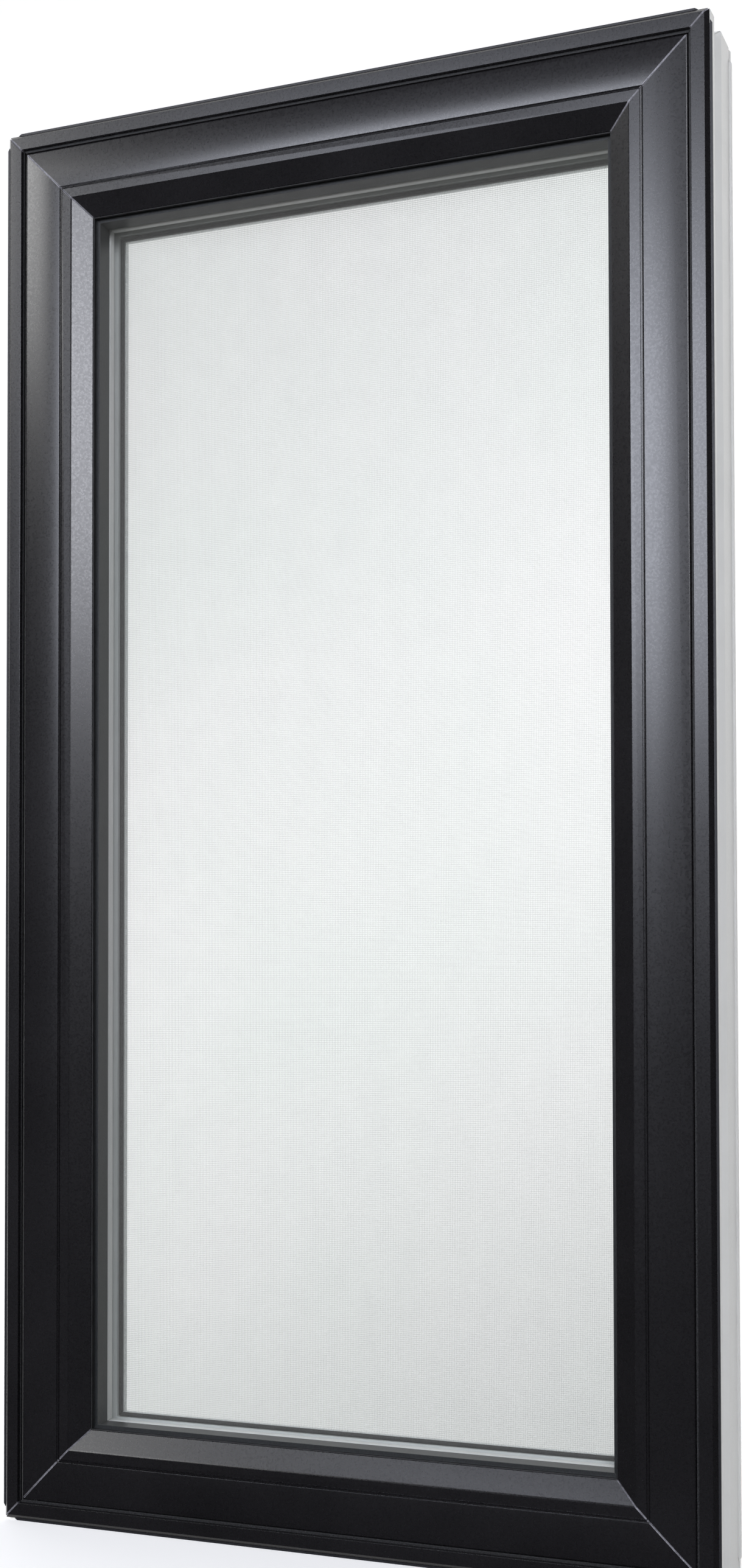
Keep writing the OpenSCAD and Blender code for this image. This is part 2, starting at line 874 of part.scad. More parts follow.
// Lever in use, pointing sideways: eye, curved neck and the knob's stud
module crank_lever() {
    color("#e2e2df") shaft_frame() difference() {
        union() {
            translate([0, hinge_fold_y, -eye_half]) cylinder(r = 6, h = 2 * eye_half);
            translate([0, hinge_fold_y - neck_w / 2, -eye_half])
                cube([crank_len, neck_w, 2 * eye_half]);
            translate([crank_len, 0, 0])
                along_shaft(8, hinge_fold_y - neck_w / 2, hinge_fold_y + neck_w / 2);
            translate([crank_len, 0, 0])
                along_shaft(stud_neck_r, hinge_fold_y + 3, hinge_fold_y + 26);
        }
        translate([0, hinge_fold_y, -6]) cylinder(r = fold_pin_r + fit_clear, h = 12);
    }
}

knob_bore = stud_neck_r + fit_clear;
knob_outline = [
    [knob_bore, 0], [7, 0], [8.6, 4], [9.2, 12], [8.4, 20], [6, 24],
    [0, 24.6], [0, 22.2], [knob_bore, 22.2]
];

module crank_knob() {
    color("#e2e2df") shaft_frame()
        translate([crank_len, hinge_fold_y + neck_w / 2 + pin_play, 0])
            rotate([-90, 0, 0]) rotate_extrude() polygon(knob_outline);
}

// ---- lock ----

module lock_frame() {
    translate([lock_x, 0, lock_z]) children();
}

module along_y(r, t0, t1) {
    translate([0, at(t1), 0]) rotate([90, 0, 0]) cylinder(r = r, h = t1 - t0);
}

plate_straight = 34; // half the plate's height between its round ends
plate_screw = 36;
lever_half = 7;
lever_d = 8;
lever_gap = 3; // between the plate and the lever
boss_r = 11;

module escutcheon_screw_places() {
    for (dz = [-plate_screw, plate_screw]) translate([lock_x, at(frame_d), lock_z + dz]) children();
}

module lock_escutcheon() {
    color(white_vinyl) difference() {
        union() {
            lock_frame() translate([-plate_half, at(frame_d), -plate_straight])
                cube([2 * plate_half, plate_d, 2 * plate_straight]);
            for (dz = [-plate_straight, plate_straight]) lock_frame() translate([0, 0, dz])
                along_y(plate_half, frame_d, frame_d + plate_d);
        }
        lock_frame() along_y(handle_r + fit_clear, frame_d - 1, frame_d + plate_d + 1);
        escutcheon_screw_places() translate([0, plate_d, 0]) rotate([-90, 0, 0]) screw_hole();
    }
}

// Handle pointing up: unlocked
module lock_lever() {
    lever_t = frame_d + plate_d + lever_gap;
    color("#e2e2df") lock_frame() {
        along_y(handle_r, pinion_t + pinion_w, frame_d + plate_d + pin_play);
        along_y(boss_r, frame_d + plate_d + pin_play, lever_t + lever_d);
        translate([-lever_half, at(lever_t), 0]) cube([2 * lever_half, lever_d, handle_len]);
        translate([0, 0, handle_len]) along_y(lever_half, lever_t, lever_t + lever_d);
    }
}

module lock_pinion() {
    color(steel) lock_frame()
        translate([0, at(pinion_t + pinion_w), 0]) rotate([90, 0, 0])
            linear_extrude(height = pinion_w)
                polygon(gear_points(teeth, pinion_r + 0.4, pinion_r - 0.8));
}

bar_low_z = keeper_low_z - 60;
bar_high_z = keeper_high_z + 10;

// Bar along X = distance from the frame's right outer face
module lock_box(s0, t0, z0, s1, t1, z1) {
    translate([frame_w / 2 - s1, at(t0), z0]) cube([s1 - s0, t1 - t0, z1 - z0]);
}

module tie_bar() {
    pitch = 2 * PI * pinion_r / teeth;
    color(steel) {
        lock_box(bar_s, bar_t - bar_w / 2, bar_low_z, bar_s + bar_th, bar_t + bar_w / 2, bar_high_z);
        lock_box(bar_s, bar_t + bar_w / 2 - 0.01, lock_z - rack_low, bar_s + bar_th,
            pinion_t + pinion_w, lock_z + rack_high);
        for (k = [-19 : 8])
            lock_box(bar_s + bar_th - 0.01, pinion_t, lock_z + (k + 0.5) * pitch - 0.5,
                bar_s + bar_th + 0.9, pinion_t + pinion_w, lock_z + (k + 0.5) * pitch + 0.5);
    }
}

// Riveted studs that slide behind the sash's keepers
module tie_bar_studs() {
    color(steel) for (z = [keeper_low_z, keeper_high_z])
        translate([frame_w / 2 - bar_s - bar_th, at(bar_t), z - lock_travel])
            rotate([0, -90, 0]) cylinder(r = keeper_gap - 0.2, h = stud_len);
}

module tie_bar_guides() {
    half = bar_w / 2;
    color("#dcdad2") for (z = [keeper_low_z + 30, frame_h / 2 + 40, keeper_high_z - 90])
        difference() {
            lock_box(floor_s, bar_t - half - 2.2, z, bar_s + bar_th + 1.4, bar_t + half + 2.2, z + 22);
            lock_box(bar_s - 0.15, bar_t - half - 0.2, z - 1, bar_s + bar_th + 0.2,
                bar_t + half + 0.2, z + 23);
            lock_box(bar_s, bar_t - half + 2, z - 1, bar_s + bar_th + 9, bar_t + half - 2, z + 23);
        }
}

module sash_keepers() {
    color(steel) for (z = [keeper_low_z, keeper_high_z]) {
        lock_box(body_s - 2.5, 18, z - 22, body_s, sash_back_t - 2.1, z + 22);
        lock_box(body_s - 10.5, bar_t + keeper_gap, z - 15, body_s, sash_back_t - 2.1, z + 15);
    }
}

// ---- screen ----

screen_outline = [
    [screen_s, screen_t], [web_s, screen_t], [web_s, mesh_t + mesh_w],
    [screen_in_s, mesh_t + mesh_w], [screen_in_s, screen_t + screen_d],
    [screen_s, screen_t + screen_d]
];

// Square at each corner that the corner key fills
module key_zones() {
    for (x = [-1, 1]) for (z = [0, 1])
        translate([x * (frame_w / 2 - key_len / 2), 0, z * frame_h + (z == 0 ? 1 : -1) * key_len / 2])
            cube([key_len, 2 * frame_d, key_len], center = true);
}

module screen_rail(side) {
    color("#d9dbd8") difference() {
        on_side(side) difference() {
            mitred(side_len(side), screen_outline);
            bar(side_len(side), box2(screen_s + screen_wall, screen_t + screen_wall,
                web_s - screen_wall, screen_t + screen_d - screen_wall));
        }
        key_zones();
        plunger_hole(-1);
        plunger_hole(1);
    }
}

module screen_bottom_rail() {
    screen_rail("sill");
}

module screen_top_rail() {
    screen_rail("head");
}

module screen_left_rail() {
    screen_rail("left");
}

module screen_right_rail() {
    screen_rail("right");
}

module screen_corner_keys() {
    color("#c8cac8") intersection() {
        for (side = SIDES) on_side(side) mitred(side_len(side), screen_outline);
        key_zones();
    }
}

module screen_spline() {
    color(black_rubber) mitred_ring(
        box2(spline_s, mesh_t - spline_w, screen_in_s, mesh_t));
}

module screen_mesh() {
    color("#4a4c4e") translate([-frame_w / 2 + spline_s, at(mesh_t), spline_s])
        cube([frame_w - 2 * spline_s, mesh_w, frame_h - 2 * spline_s]);
}

// Side that a plunger is on: -1 left, 1 right; drawn outward along +X from its inner end
module plunger_frame(dir) {
    translate([dir * (frame_w / 2 - leg_s + plunger_bite - plunger_len), at(plunger_t), plunger_z])
        rotate([0, dir < 0 ? 180 : 0, 0]) children();
}

// Bore through the screen rail's outer wall and the jamb's wall, and the slot for the tab
module plunger_hole(dir) {
    plunger_frame(dir) {
        translate([plunger_len - plunger_bite - 4, 0, 0]) rotate([0, 90, 0])
            cylinder(r = plunger_r + 0.15, h = plunger_bite + 6);
        translate([2 - plunger_travel - tab_r - 0.3, 0, -tab_r - 0.3])
            cube([plunger_travel + 2 * tab_r + 0.6, screen_d, 2 * (tab_r + 0.3)]);
    }
}

// Spring plunger that holds the screen in the frame, with a pull tab on the room side
module screen_plunger(dir) {
    reach = screen_t + screen_d - plunger_t;
    color(steel) plunger_frame(dir) {
        rotate([0, 90, 0]) cylinder(r = plunger_r, h = plunger_len);
        translate([2, reach + 4, 0]) rotate([90, 0, 0]) cylinder(r = tab_r, h = reach + 4);
        translate([2, reach + 4, 0]) rotate([90, 0, 0]) cylinder(r = 4, h = 3.5);
    }
}

module screen_plunger_left() {
    screen_plunger(-1);
}

module screen_plunger_right() {
    screen_plunger(1);
}

frame_sill();
frame_head();
frame_left_jamb();
frame_right_jamb();
front_groove_strips();
rear_groove_strips();
frame_weatherstrip();
stop_seal();
sash_bottom_rail();
sash_top_rail();
sash_hinge_stile();
sash_lock_stile();
stile_reinforcements();
outer_pane();
inner_pane();
pane_spacer();
edge_sealant();
outer_glazing_gasket();
inner_glazing_tape();
setting_blocks();
bottom_glazing_bead();
top_glazing_bead();
left_glazing_bead();
right_glazing_bead();
lower_hinge_frame_leaf();
upper_hinge_frame_leaf();
lower_hinge_sash_leaf();
upper_hinge_sash_leaf();
hinge_pins();
hinge_bushings();
frame_screws();
sash_screws();
operator_base();
arm_pivot_pin();
operator_arm();
arm_gear();
arm_roller();
sash_track();
operator_cover();
crank_shaft();
crank_hub();
fold_pin();
crank_lever();
crank_knob();
lock_escutcheon();
lock_lever();
lock_pinion();
tie_bar();
tie_bar_studs();
tie_bar_guides();
sash_keepers();
screen_bottom_rail();
screen_top_rail();
screen_left_rail();
screen_right_rail();
screen_corner_keys();
screen_spline();
screen_mesh();
screen_plunger_left();
screen_plunger_right();
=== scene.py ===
# %% [markdown]
# # A crank-out casement window
#
# The CAD model holds the window's shape, its hinges and its crank. This lesson gives it its looks: eased
# edges on every extruded or cast piece, a woven insect mesh, and a finish on each surface. The window stands
# on a pale floor in soft studio light.

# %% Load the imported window
import json
import math

import bmesh
import bpy
from mathutils import Matrix, Vector


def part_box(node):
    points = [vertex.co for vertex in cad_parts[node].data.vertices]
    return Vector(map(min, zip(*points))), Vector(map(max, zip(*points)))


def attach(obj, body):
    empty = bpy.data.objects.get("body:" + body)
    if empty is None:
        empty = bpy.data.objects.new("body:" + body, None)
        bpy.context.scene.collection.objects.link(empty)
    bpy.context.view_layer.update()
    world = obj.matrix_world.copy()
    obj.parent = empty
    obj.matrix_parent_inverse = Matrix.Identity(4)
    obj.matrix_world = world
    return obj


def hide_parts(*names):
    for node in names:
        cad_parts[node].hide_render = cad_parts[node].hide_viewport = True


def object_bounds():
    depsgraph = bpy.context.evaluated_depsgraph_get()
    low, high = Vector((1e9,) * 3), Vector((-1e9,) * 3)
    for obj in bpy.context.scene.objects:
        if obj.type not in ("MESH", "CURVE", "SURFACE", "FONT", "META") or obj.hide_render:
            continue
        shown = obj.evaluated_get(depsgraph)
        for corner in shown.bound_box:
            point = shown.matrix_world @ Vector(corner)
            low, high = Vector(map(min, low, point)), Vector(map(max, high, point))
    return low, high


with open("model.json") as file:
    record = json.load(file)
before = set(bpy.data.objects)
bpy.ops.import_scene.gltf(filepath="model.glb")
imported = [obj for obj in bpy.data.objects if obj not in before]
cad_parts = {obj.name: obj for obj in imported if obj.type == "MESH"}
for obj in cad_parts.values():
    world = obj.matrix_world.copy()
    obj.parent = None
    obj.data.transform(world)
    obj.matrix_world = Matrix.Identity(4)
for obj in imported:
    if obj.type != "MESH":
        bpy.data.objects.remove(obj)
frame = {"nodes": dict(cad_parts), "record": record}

cad_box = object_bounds()
print("CAD box", [round(v, 4) for corner in cad_box for v in corner])

# %% [markdown]
# ## Places on the window
#
# Every profile of this window runs round all four sides, so two distances say where a point lies: how far
# it is in from the frame's outer face, and how deep it is behind the weather plane. Both are measured from
# the frame's own box.

# %% Sizes taken from the frame
MM = 0.001
SILL_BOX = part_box("frame_sill")
HEAD_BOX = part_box("frame_head")
LEFT, FRONT, LOW = SILL_BOX[0]
RIGHT, ROOM, HIGH = SILL_BOX[1].x, SILL_BOX[1].y, HEAD_BOX[1].z
MIDDLE = Vector(((LEFT + RIGHT) / 2, (FRONT + ROOM) / 2, (LOW + HIGH) / 2))
BODY_OF = {n: b for b, ns in frame["record"]["behaviour"]["bodies"].items() for n in ns}
SLOT_OF = {s["node"]: s["material_slot"] for s in frame["record"]["subparts"]}


def inward(point):
    """Distance in from the nearest outer face of the frame."""
    return min(point.x - LEFT, RIGHT - point.x, point.z - LOW, HIGH - point.z)


def depth(point):
    """Distance behind the frame's weather plane."""
    return point.y - FRONT


print("frame", round(RIGHT - LEFT, 4), "x", round(HIGH - LOW, 4), "m, depth", round(ROOM - FRONT, 4))

# %% [markdown]
# ## Small helpers for materials
#
# A colour is written as the sRGB hex value a paint card would give, and turned to the linear numbers that
# the shader works in. One function adds a node with its settings and its links, so each finish below reads
# as a short recipe. A function for each kind of node would be longer and say no more.


# %% Colours and nodes
def linear(hex_colour):
    """Linear RGBA of an sRGB hex value."""
    values = [int(hex_colour[i:i + 2], 16) / 255 for i in (1, 3, 5)]
    return [v / 12.92 if v <= 0.04045 else ((v + 0.055) / 1.055) ** 2.4 for v in values] + [1.0]


def add_node(tree, kind, settings=None, links=None):
    """Adds a node; settings are properties or input values, links join its inputs to other sockets."""
    node = tree.nodes.new(kind)
    for name, value in (settings or {}).items():
        if isinstance(name, int) or name in node.inputs:
            node.inputs[name].default_value = value
        else:
            setattr(node, name, value)
    for name, socket in (links or {}).items():
        tree.links.new(socket, node.inputs[name])
    return node


print("half grey on a card is", round(linear("#808080")[0], 3), "in linear light")

# %% [markdown]
# ## What every finish starts from
#
# Each finish is a Principled shader with a few fields on it. The fields read object coordinates, which are
# metres on the real window, so a grain's size is given in millimetres and stays true on every piece. An
# image texture would need each piece unwrapped, and would blur up close.


# %% A material, its noise and its relief
def new_material(name, colour, roughness, settings=None):
    """A material with its Principled shader and its object coordinates."""
    material = bpy.data.materials.new(name)
    material.use_nodes = True
    tree = material.node_tree
    tree.nodes.clear()
    values = {"Base Color": linear(colour), "Roughness": roughness, **(settings or {})}
    shader = add_node(tree, "ShaderNodeBsdfPrincipled", values)
    add_node(tree, "ShaderNodeOutputMaterial", links={"Surface": shader.outputs["BSDF"]})
    place = add_node(tree, "ShaderNodeTexCoord").outputs["Object"]
    return material, tree, shader, place


def noise_field(tree, place, size_mm, stretch=(1, 1, 1), detail=2.0):
    """Noise whose grain is size_mm wide, drawn out by the stretch along each axis."""
    scale = [1 / s for s in stretch]
    mapping = add_node(tree, "ShaderNodeMapping", {"Scale": scale}, {"Vector": place})
    settings = {"Scale": 1 / (size_mm * MM), "Detail": detail}
    return add_node(tree, "ShaderNodeTexNoise", settings, {"Vector": mapping.outputs["Vector"]})


def spread(tree, value, low, high):
    """A 0 to 1 field turned to the range low to high."""
    settings = {"To Min": low, "To Max": high, "From Min": 0.3, "From Max": 0.7}
    return add_node(tree, "ShaderNodeMapRange", settings, {"Value": value}).outputs["Result"]


def tint(tree, field, dark, light):
    """Colour between two hex values, led by a field."""
    mix = add_node(tree, "ShaderNodeMix", {"data_type": "RGBA"}, {"Factor": field})
    mix.inputs["A"].default_value = linear(dark)
    mix.inputs["B"].default_value = linear(light)
    return mix.outputs["Result"]


def bump(tree, shader, height, depth_mm, strength=1.0):
    """Fine relief of the given depth."""
    settings = {"Distance": depth_mm * MM, "Strength": strength}
    node = add_node(tree, "ShaderNodeBump", settings, {"Height": height})
    tree.links.new(node.outputs["Normal"], shader.inputs["Normal"])


print("a 2 mm grain has noise scale", 1 / (2 * MM))

# %% [markdown]
# ## Extruded vinyl, white and black
#
# The frame and sash are PVC, pushed hot through a die and sized in a cold calibrator. White vinyl comes out
# satin, with very faint draw lines. The weather side carries a dark acrylic skin a fraction of a millimetre
# thick. It is smoother than the white, with the shallow orange peel of a coat: round hills about 2 mm across
# and a hundredth of a millimetre high, which soften a reflection without breaking it. Both are dielectrics,
# so they keep a metallic value of 0.


# %% White and black vinyl
def extruded_white():
    material, tree, shader, place = new_material("extruded_white_vinyl", "#d2d2cf", 0.38, {"IOR": 1.53})
    cloud = noise_field(tree, place, 60, detail=3.0)
    colour = tint(tree, spread(tree, cloud.outputs["Fac"], 0, 1), "#d0d0cd", "#d6d6d3")
    tree.links.new(colour, shader.inputs["Base Color"])
    draw = noise_field(tree, place, 1.6, detail=1.0)
    rough = spread(tree, draw.outputs["Fac"], 0.34, 0.44)
    tree.links.new(rough, shader.inputs["Roughness"])
    bump(tree, shader, draw.outputs["Fac"], 0.02)
    return material


def black_capstock():
    settings = {"IOR": 1.49, "Coat Weight": 0.15, "Coat Roughness": 0.22}
    material, tree, shader, place = new_material("black_capstock_vinyl", "#121113", 0.27, settings)
    cloud = noise_field(tree, place, 90, detail=4.0)
    colour = tint(tree, spread(tree, cloud.outputs["Fac"], 0, 1), "#0f0e10", "#151416")
    tree.links.new(colour, shader.inputs["Base Color"])
    peel = noise_field(tree, place, 1.8, detail=2.0)
    rough = spread(tree, peel.outputs["Fac"], 0.25, 0.32)
    tree.links.new(rough, shader.inputs["Roughness"])
    bump(tree, shader, peel.outputs["Fac"], 0.012)
    return material


WHITE_VINYL = extruded_white()
BLACK_VINYL = black_capstock()
print("vinyl finishes", WHITE_VINYL.name, BLACK_VINYL.name)

# %% [markdown]
# ## Black strips, and cleaned welds with a painted highlight
#
# The strips in the frame's front groove are black all through and duller than the skin, with a fine grain.
# Where a knife has cleaned a corner weld, the skin is gone and a thin, smoother line is left. Its paler
# colour is partly that bare weld and partly a painted highlight along the mitre. It is a finish of its own,
# because no bump could change its colour.


# %% Strip and weld finishes
def black_fin():
    material, tree, shader, place = new_material("black_strip_vinyl", "#17171a", 0.5, {"IOR": 1.5})
    grain = noise_field(tree, place, 0.8, detail=2.0)
    colour = tint(tree, spread(tree, grain.outputs["Fac"], 0, 1), "#131316", "#1b1b1f")
    tree.links.new(colour, shader.inputs["Base Color"])
    tree.links.new(spread(tree, grain.outputs["Fac"], 0.42, 0.6), shader.inputs["Roughness"])
    bump(tree, shader, grain.outputs["Fac"], 0.02)
    return material


def knife_cleaned_weld():
    """Cleaned corner weld: smoother than the skin, paler as bare weld and as a painted highlight."""
    material, tree, shader, place = new_material("knife_cleaned_weld", "#77767b", 0.28, {"IOR": 1.5})
    ripple = noise_field(tree, place, 1.4, detail=2.0)
    # Pale grey tone: the bare weld, plus a painted highlight along the mitre
    colour = tint(tree, spread(tree, ripple.outputs["Fac"], 0, 1), "#5e5d62", "#8f8e94")
    tree.links.new(colour, shader.inputs["Base Color"])
    bump(tree, shader, ripple.outputs["Fac"], 0.05)
    return material


BLACK_STRIP = black_fin()
WELD_AND_HIGHLIGHT = knife_cleaned_weld()
print("strip and weld finishes", BLACK_STRIP.name, WELD_AND_HIGHLIGHT.name)

# %% [markdown]
# ## Rubber and pile
#
# The gaskets are EPDM rubber: matt, with cloudy dust on them. The wiper is a pile of short black fibres. Real
# hairs would be many thousands and never seen one by one, so a fine noise with deep relief stands for them.


# %% Rubber and pile finishes
def epdm_rubber():
    material, tree, shader, place = new_material("epdm_rubber", "#1a1a1b", 0.62, {"IOR": 1.5})
    dust = noise_field(tree, place, 14, detail=5.0)
    colour = tint(tree, spread(tree, dust.outputs["Fac"], 0, 1), "#131314", "#232324")
    tree.links.new(colour, shader.inputs["Base Color"])
    grain = noise_field(tree, place, 0.6)
    bump(tree, shader, grain.outputs["Fac"], 0.03)
    return material


def wiper_pile():
    material, tree, shader, place = new_material("pile_weatherstrip", "#1b1b1d", 0.7, {"IOR": 1.5})
    fibres = noise_field(tree, place, 1.1, detail=4.0)
    colour = tint(tree, spread(tree, fibres.outputs["Fac"], -0.6, 1.1), "#080809", "#2c2c2e")
    tree.links.new(colour, shader.inputs["Base Color"])
    bump(tree, shader, fibres.outputs["Fac"], 0.3)
    return material


RUBBER = epdm_rubber()
PILE = wiper_pile()
print("seals", RUBBER.name, PILE.name)

# %% [markdown]
# ## Glass and the edge of the unit
#
# The panes are clear float glass with an index of 1.52. The glass is very faintly green through its iron, and
# a little unevenly so, because no melt is quite the same all through. It has no roughness: a pane that is
# even slightly rough looks frosted. A dark butyl seal, smeared on by hand, and a dark plastic spacer close
# the edge between the two panes.


# %% Glass, sealant and spacer finishes
def butyl_sealant():
    material, tree, shader, place = new_material("butyl_edge_sealant", "#2b2b2d", 0.55, {"IOR": 1.5})
    smear = noise_field(tree, place, 6, detail=4.0)
    colour = tint(tree, spread(tree, smear.outputs["Fac"], 0, 1), "#222224", "#353537")
    tree.links.new(colour, shader.inputs["Base Color"])
    bump(tree, shader, smear.outputs["Fac"], 0.3)
    return material


def warm_edge_spacer():
    material, tree, shader, place = new_material("warm_edge_spacer", "#2c2d2e", 0.42, {"IOR": 1.5})
    grain = noise_field(tree, place, 1.2)
    colour = tint(tree, spread(tree, grain.outputs["Fac"], 0, 1), "#252627", "#343637")
    tree.links.new(colour, shader.inputs["Base Color"])
    bump(tree, shader, grain.outputs["Fac"], 0.05)
    return material


def float_glass():
    settings = {"IOR": 1.52, "Transmission Weight": 1.0}
    material, tree, shader, place = new_material("clear_float_glass", "#fefefe", 0.0, settings)
    melt = noise_field(tree, place, 300)
    colour = tint(tree, spread(tree, melt.outputs["Fac"], 0, 1), "#fcfefd", "#ffffff")
    tree.links.new(colour, shader.inputs["Base Color"])
    return material


SEALANT = butyl_sealant()
SPACER = warm_edge_spacer()
GLASS = float_glass()
print("glass unit", SEALANT.name, SPACER.name, GLASS.name)

# %% [markdown]
# ## Steel and zinc
#
# Hinges, arm and keepers are stamped stainless steel: the grain runs along the strip, so the roughness field
# is drawn out in one direction. The operator's base is a zinc casting with a dull coat that fills most of its
# grain. Metals keep the default index, because their colour already sets how they mirror.


# %% Steel and zinc finishes
def brushed_steel():
    settings = {"Metallic": 1.0}
    material, tree, shader, place = new_material("stamped_stainless_steel", "#b4b5b6", 0.32, settings)
    grain = noise_field(tree, place, 0.35, stretch=(40, 1, 1), detail=3.0)
    tree.links.new(spread(tree, grain.outputs["Fac"], 0.24, 0.42), shader.inputs["Roughness"])
    cloud = noise_field(tree, place, 12, detail=3.0)
    colour = tint(tree, spread(tree, cloud.outputs["Fac"], 0, 1), "#a3a5a7", "#bfc0c1")
    tree.links.new(colour, shader.inputs["Base Color"])
    bump(tree, shader, grain.outputs["Fac"], 0.01)
    return material


def zinc_casting():
    settings = {"Metallic": 0.7}
    material, tree, shader, place = new_material("coated_zinc_casting", "#77797c", 0.5, settings)
    grain = noise_field(tree, place, 0.9, detail=4.0)
    colour = tint(tree, spread(tree, grain.outputs["Fac"], 0, 1), "#6a6c6f", "#84868a")
    tree.links.new(colour, shader.inputs["Base Color"])
    tree.links.new(spread(tree, grain.outputs["Fac"], 0.42, 0.6), shader.inputs["Roughness"])
    bump(tree, shader, grain.outputs["Fac"], 0.06)
    return material


STEEL = brushed_steel()
ZINC = zinc_casting()
print("metals", STEEL.name, ZINC.name)

# %% [markdown]
# ## Enamel, ABS and nylon
#
# The crank and lock handle are castings with white enamel, smooth with a low, broad orange peel under a thin
# clear coat. The cover is moulded ABS, with a fine even grain from its mould. The bushings are natural nylon,
# which lets a little light into its skin, so it gets some subsurface. White finishes get a faint cloud in
# their colour, as real batches do.


# %% Enamel, ABS and nylon finishes
def white_enamel():
    settings = {"IOR": 1.5, "Coat Weight": 0.5, "Coat Roughness": 0.12}
    material, tree, shader, place = new_material("white_enamelled_casting", "#d4d4d1", 0.3, settings)
    cloud = noise_field(tree, place, 18, detail=3.0)
    colour = tint(tree, spread(tree, cloud.outputs["Fac"], 0, 1), "#d1d1cd", "#d7d7d5")
    tree.links.new(colour, shader.inputs["Base Color"])
    peel = noise_field(tree, place, 2.5)
    tree.links.new(spread(tree, peel.outputs["Fac"], 0.24, 0.36), shader.inputs["Roughness"])
    bump(tree, shader, peel.outputs["Fac"], 0.03)
    return material


def moulded_abs():
    material, tree, shader, place = new_material("moulded_white_abs", "#d4d4d1", 0.42, {"IOR": 1.54})
    cloud = noise_field(tree, place, 30, detail=3.0)
    colour = tint(tree, spread(tree, cloud.outputs["Fac"], 0, 1), "#d1d1cd", "#d7d7d5")
    tree.links.new(colour, shader.inputs["Base Color"])
    grain = noise_field(tree, place, 0.7, detail=3.0)
    tree.links.new(spread(tree, grain.outputs["Fac"], 0.36, 0.5), shader.inputs["Roughness"])
    bump(tree, shader, grain.outputs["Fac"], 0.025)
    return material


def natural_nylon():
    settings = {"IOR": 1.53, "Subsurface Weight": 0.1, "Subsurface Radius": [0.002, 0.0018, 0.0014]}
    material, tree, shader, place = new_material("natural_nylon", "#dcdad0", 0.45, settings)
    grain = noise_field(tree, place, 1.0)
    colour = tint(tree, spread(tree, grain.outputs["Fac"], 0, 1), "#d6d4ca", "#e2e0d6")
    tree.links.new(colour, shader.inputs["Base Color"])
    bump(tree, shader, grain.outputs["Fac"], 0.02)
    return material


ENAMEL = white_enamel()
ABS = moulded_abs()
NYLON = natural_nylon()
print("coats and mouldings", ENAMEL.name, ABS.name, NYLON.name)

# %% [markdown]
# ## The insect screen's finishes
#
# The screen's rails are rolled aluminium under white paint. The metal never shows, so the shader is that of
# paint and not of metal. Its cloth is glass fibre in a clear vinyl coat: it lets light through but scatters
# it, so it transmits with a rough surface.


# %% Screen finishes
def painted_aluminium():
    material, tree, shader, place = new_material("painted_aluminium", "#c9ccca", 0.36, {"IOR": 1.5})
    cloud = noise_field(tree, place, 40, detail=3.0)
    colour = tint(tree, spread(tree, cloud.outputs["Fac"], 0, 1), "#c5c8c6", "#cdd0ce")
    tree.links.new(colour, shader.inputs["Base Color"])
    peel = noise_field(tree, place, 1.5)
    tree.links.new(spread(tree, peel.outputs["Fac"], 0.3, 0.42), shader.inputs["Roughness"])
    bump(tree, shader, peel.outputs["Fac"], 0.015)
    return material


def coated_glass_fibre():
    settings = {"IOR": 1.45, "Transmission Weight": 0.95}
    material, tree, shader, place = new_material("coated_glass_fibre", "#eff1f2", 0.4, settings)
    cloud = noise_field(tree, place, 25, detail=4.0)
    colour = tint(tree, spread(tree, cloud.outputs["Fac"], 0, 1), "#eaecee", "#f4f6f7")
    tree.links.new(colour, shader.inputs["Base Color"])
    return material


ALUMINIUM = painted_aluminium()
FIBRE = coated_glass_fibre()
print("screen", ALUMINIUM.name, FIBRE.name)

# %% [markdown]
# ## A finish for every CAD node
#
# The record names a material slot for each node, so one table from slot to finish covers the whole window.
# Two nodes share a slot with pieces that are made in another way, so they have their own entries.

# %% Put the finishes on
SLOT_FINISH = {
    "white_vinyl": WHITE_VINYL, "black_vinyl": BLACK_VINYL, "black_strip": BLACK_STRIP,
    "seal_rubber": RUBBER, "clear_glass": GLASS, "spacer": SPACER, "steel": STEEL,
    "bushing_nylon": NYLON, "zinc_casting": ZINC, "cover_plastic": ABS, "handle_enamel": ENAMEL,
    "screen_frame": ALUMINIUM, "screen_cloth": FIBRE,
}
NODE_FINISH = {"frame_weatherstrip": PILE, "edge_sealant": SEALANT}
for name, piece in frame["nodes"].items():
    piece.data.materials.clear()
    piece.data.materials.append(NODE_FINISH.get(name, SLOT_FINISH[SLOT_OF[name]]))
print("finishes on", len(frame["nodes"]), "CAD nodes")

# %% [markdown]
# ## Eased edges
#
# No extruded, cast or moulded edge is a perfect knife: each carries a small radius that catches a line of
# light. The CAD solids are exact and sharp, so each visible one is copied, its loose triangles are merged
# into whole faces, and its edges are bevelled. A face narrower than the radius would make the bevel fold
# over itself, so an edge is eased only where both its faces are wide enough. A Bevel modifier would be
# shorter, but it can't leave out an edge for that reason.

# %% Copy a solid and choose its edges
SAME_POINT = 0.002 * MM
FLAT_ENOUGH = math.radians(0.5)
SHARP_TO_EASE = math.radians(28)
SHARP_TO_SHADE = math.radians(32)
WIDTH_FOR_RADIUS = 2.2


def merged_copy(node):
    """A bmesh of a CAD node with its triangles joined into flat faces."""
    shape = bmesh.new()
    shape.from_mesh(frame["nodes"][node].data)
    bmesh.ops.remove_doubles(shape, verts=shape.verts, dist=SAME_POINT)
    bmesh.ops.dissolve_limit(shape, angle_limit=FLAT_ENOUGH, verts=shape.verts, edges=shape.edges)
    return shape


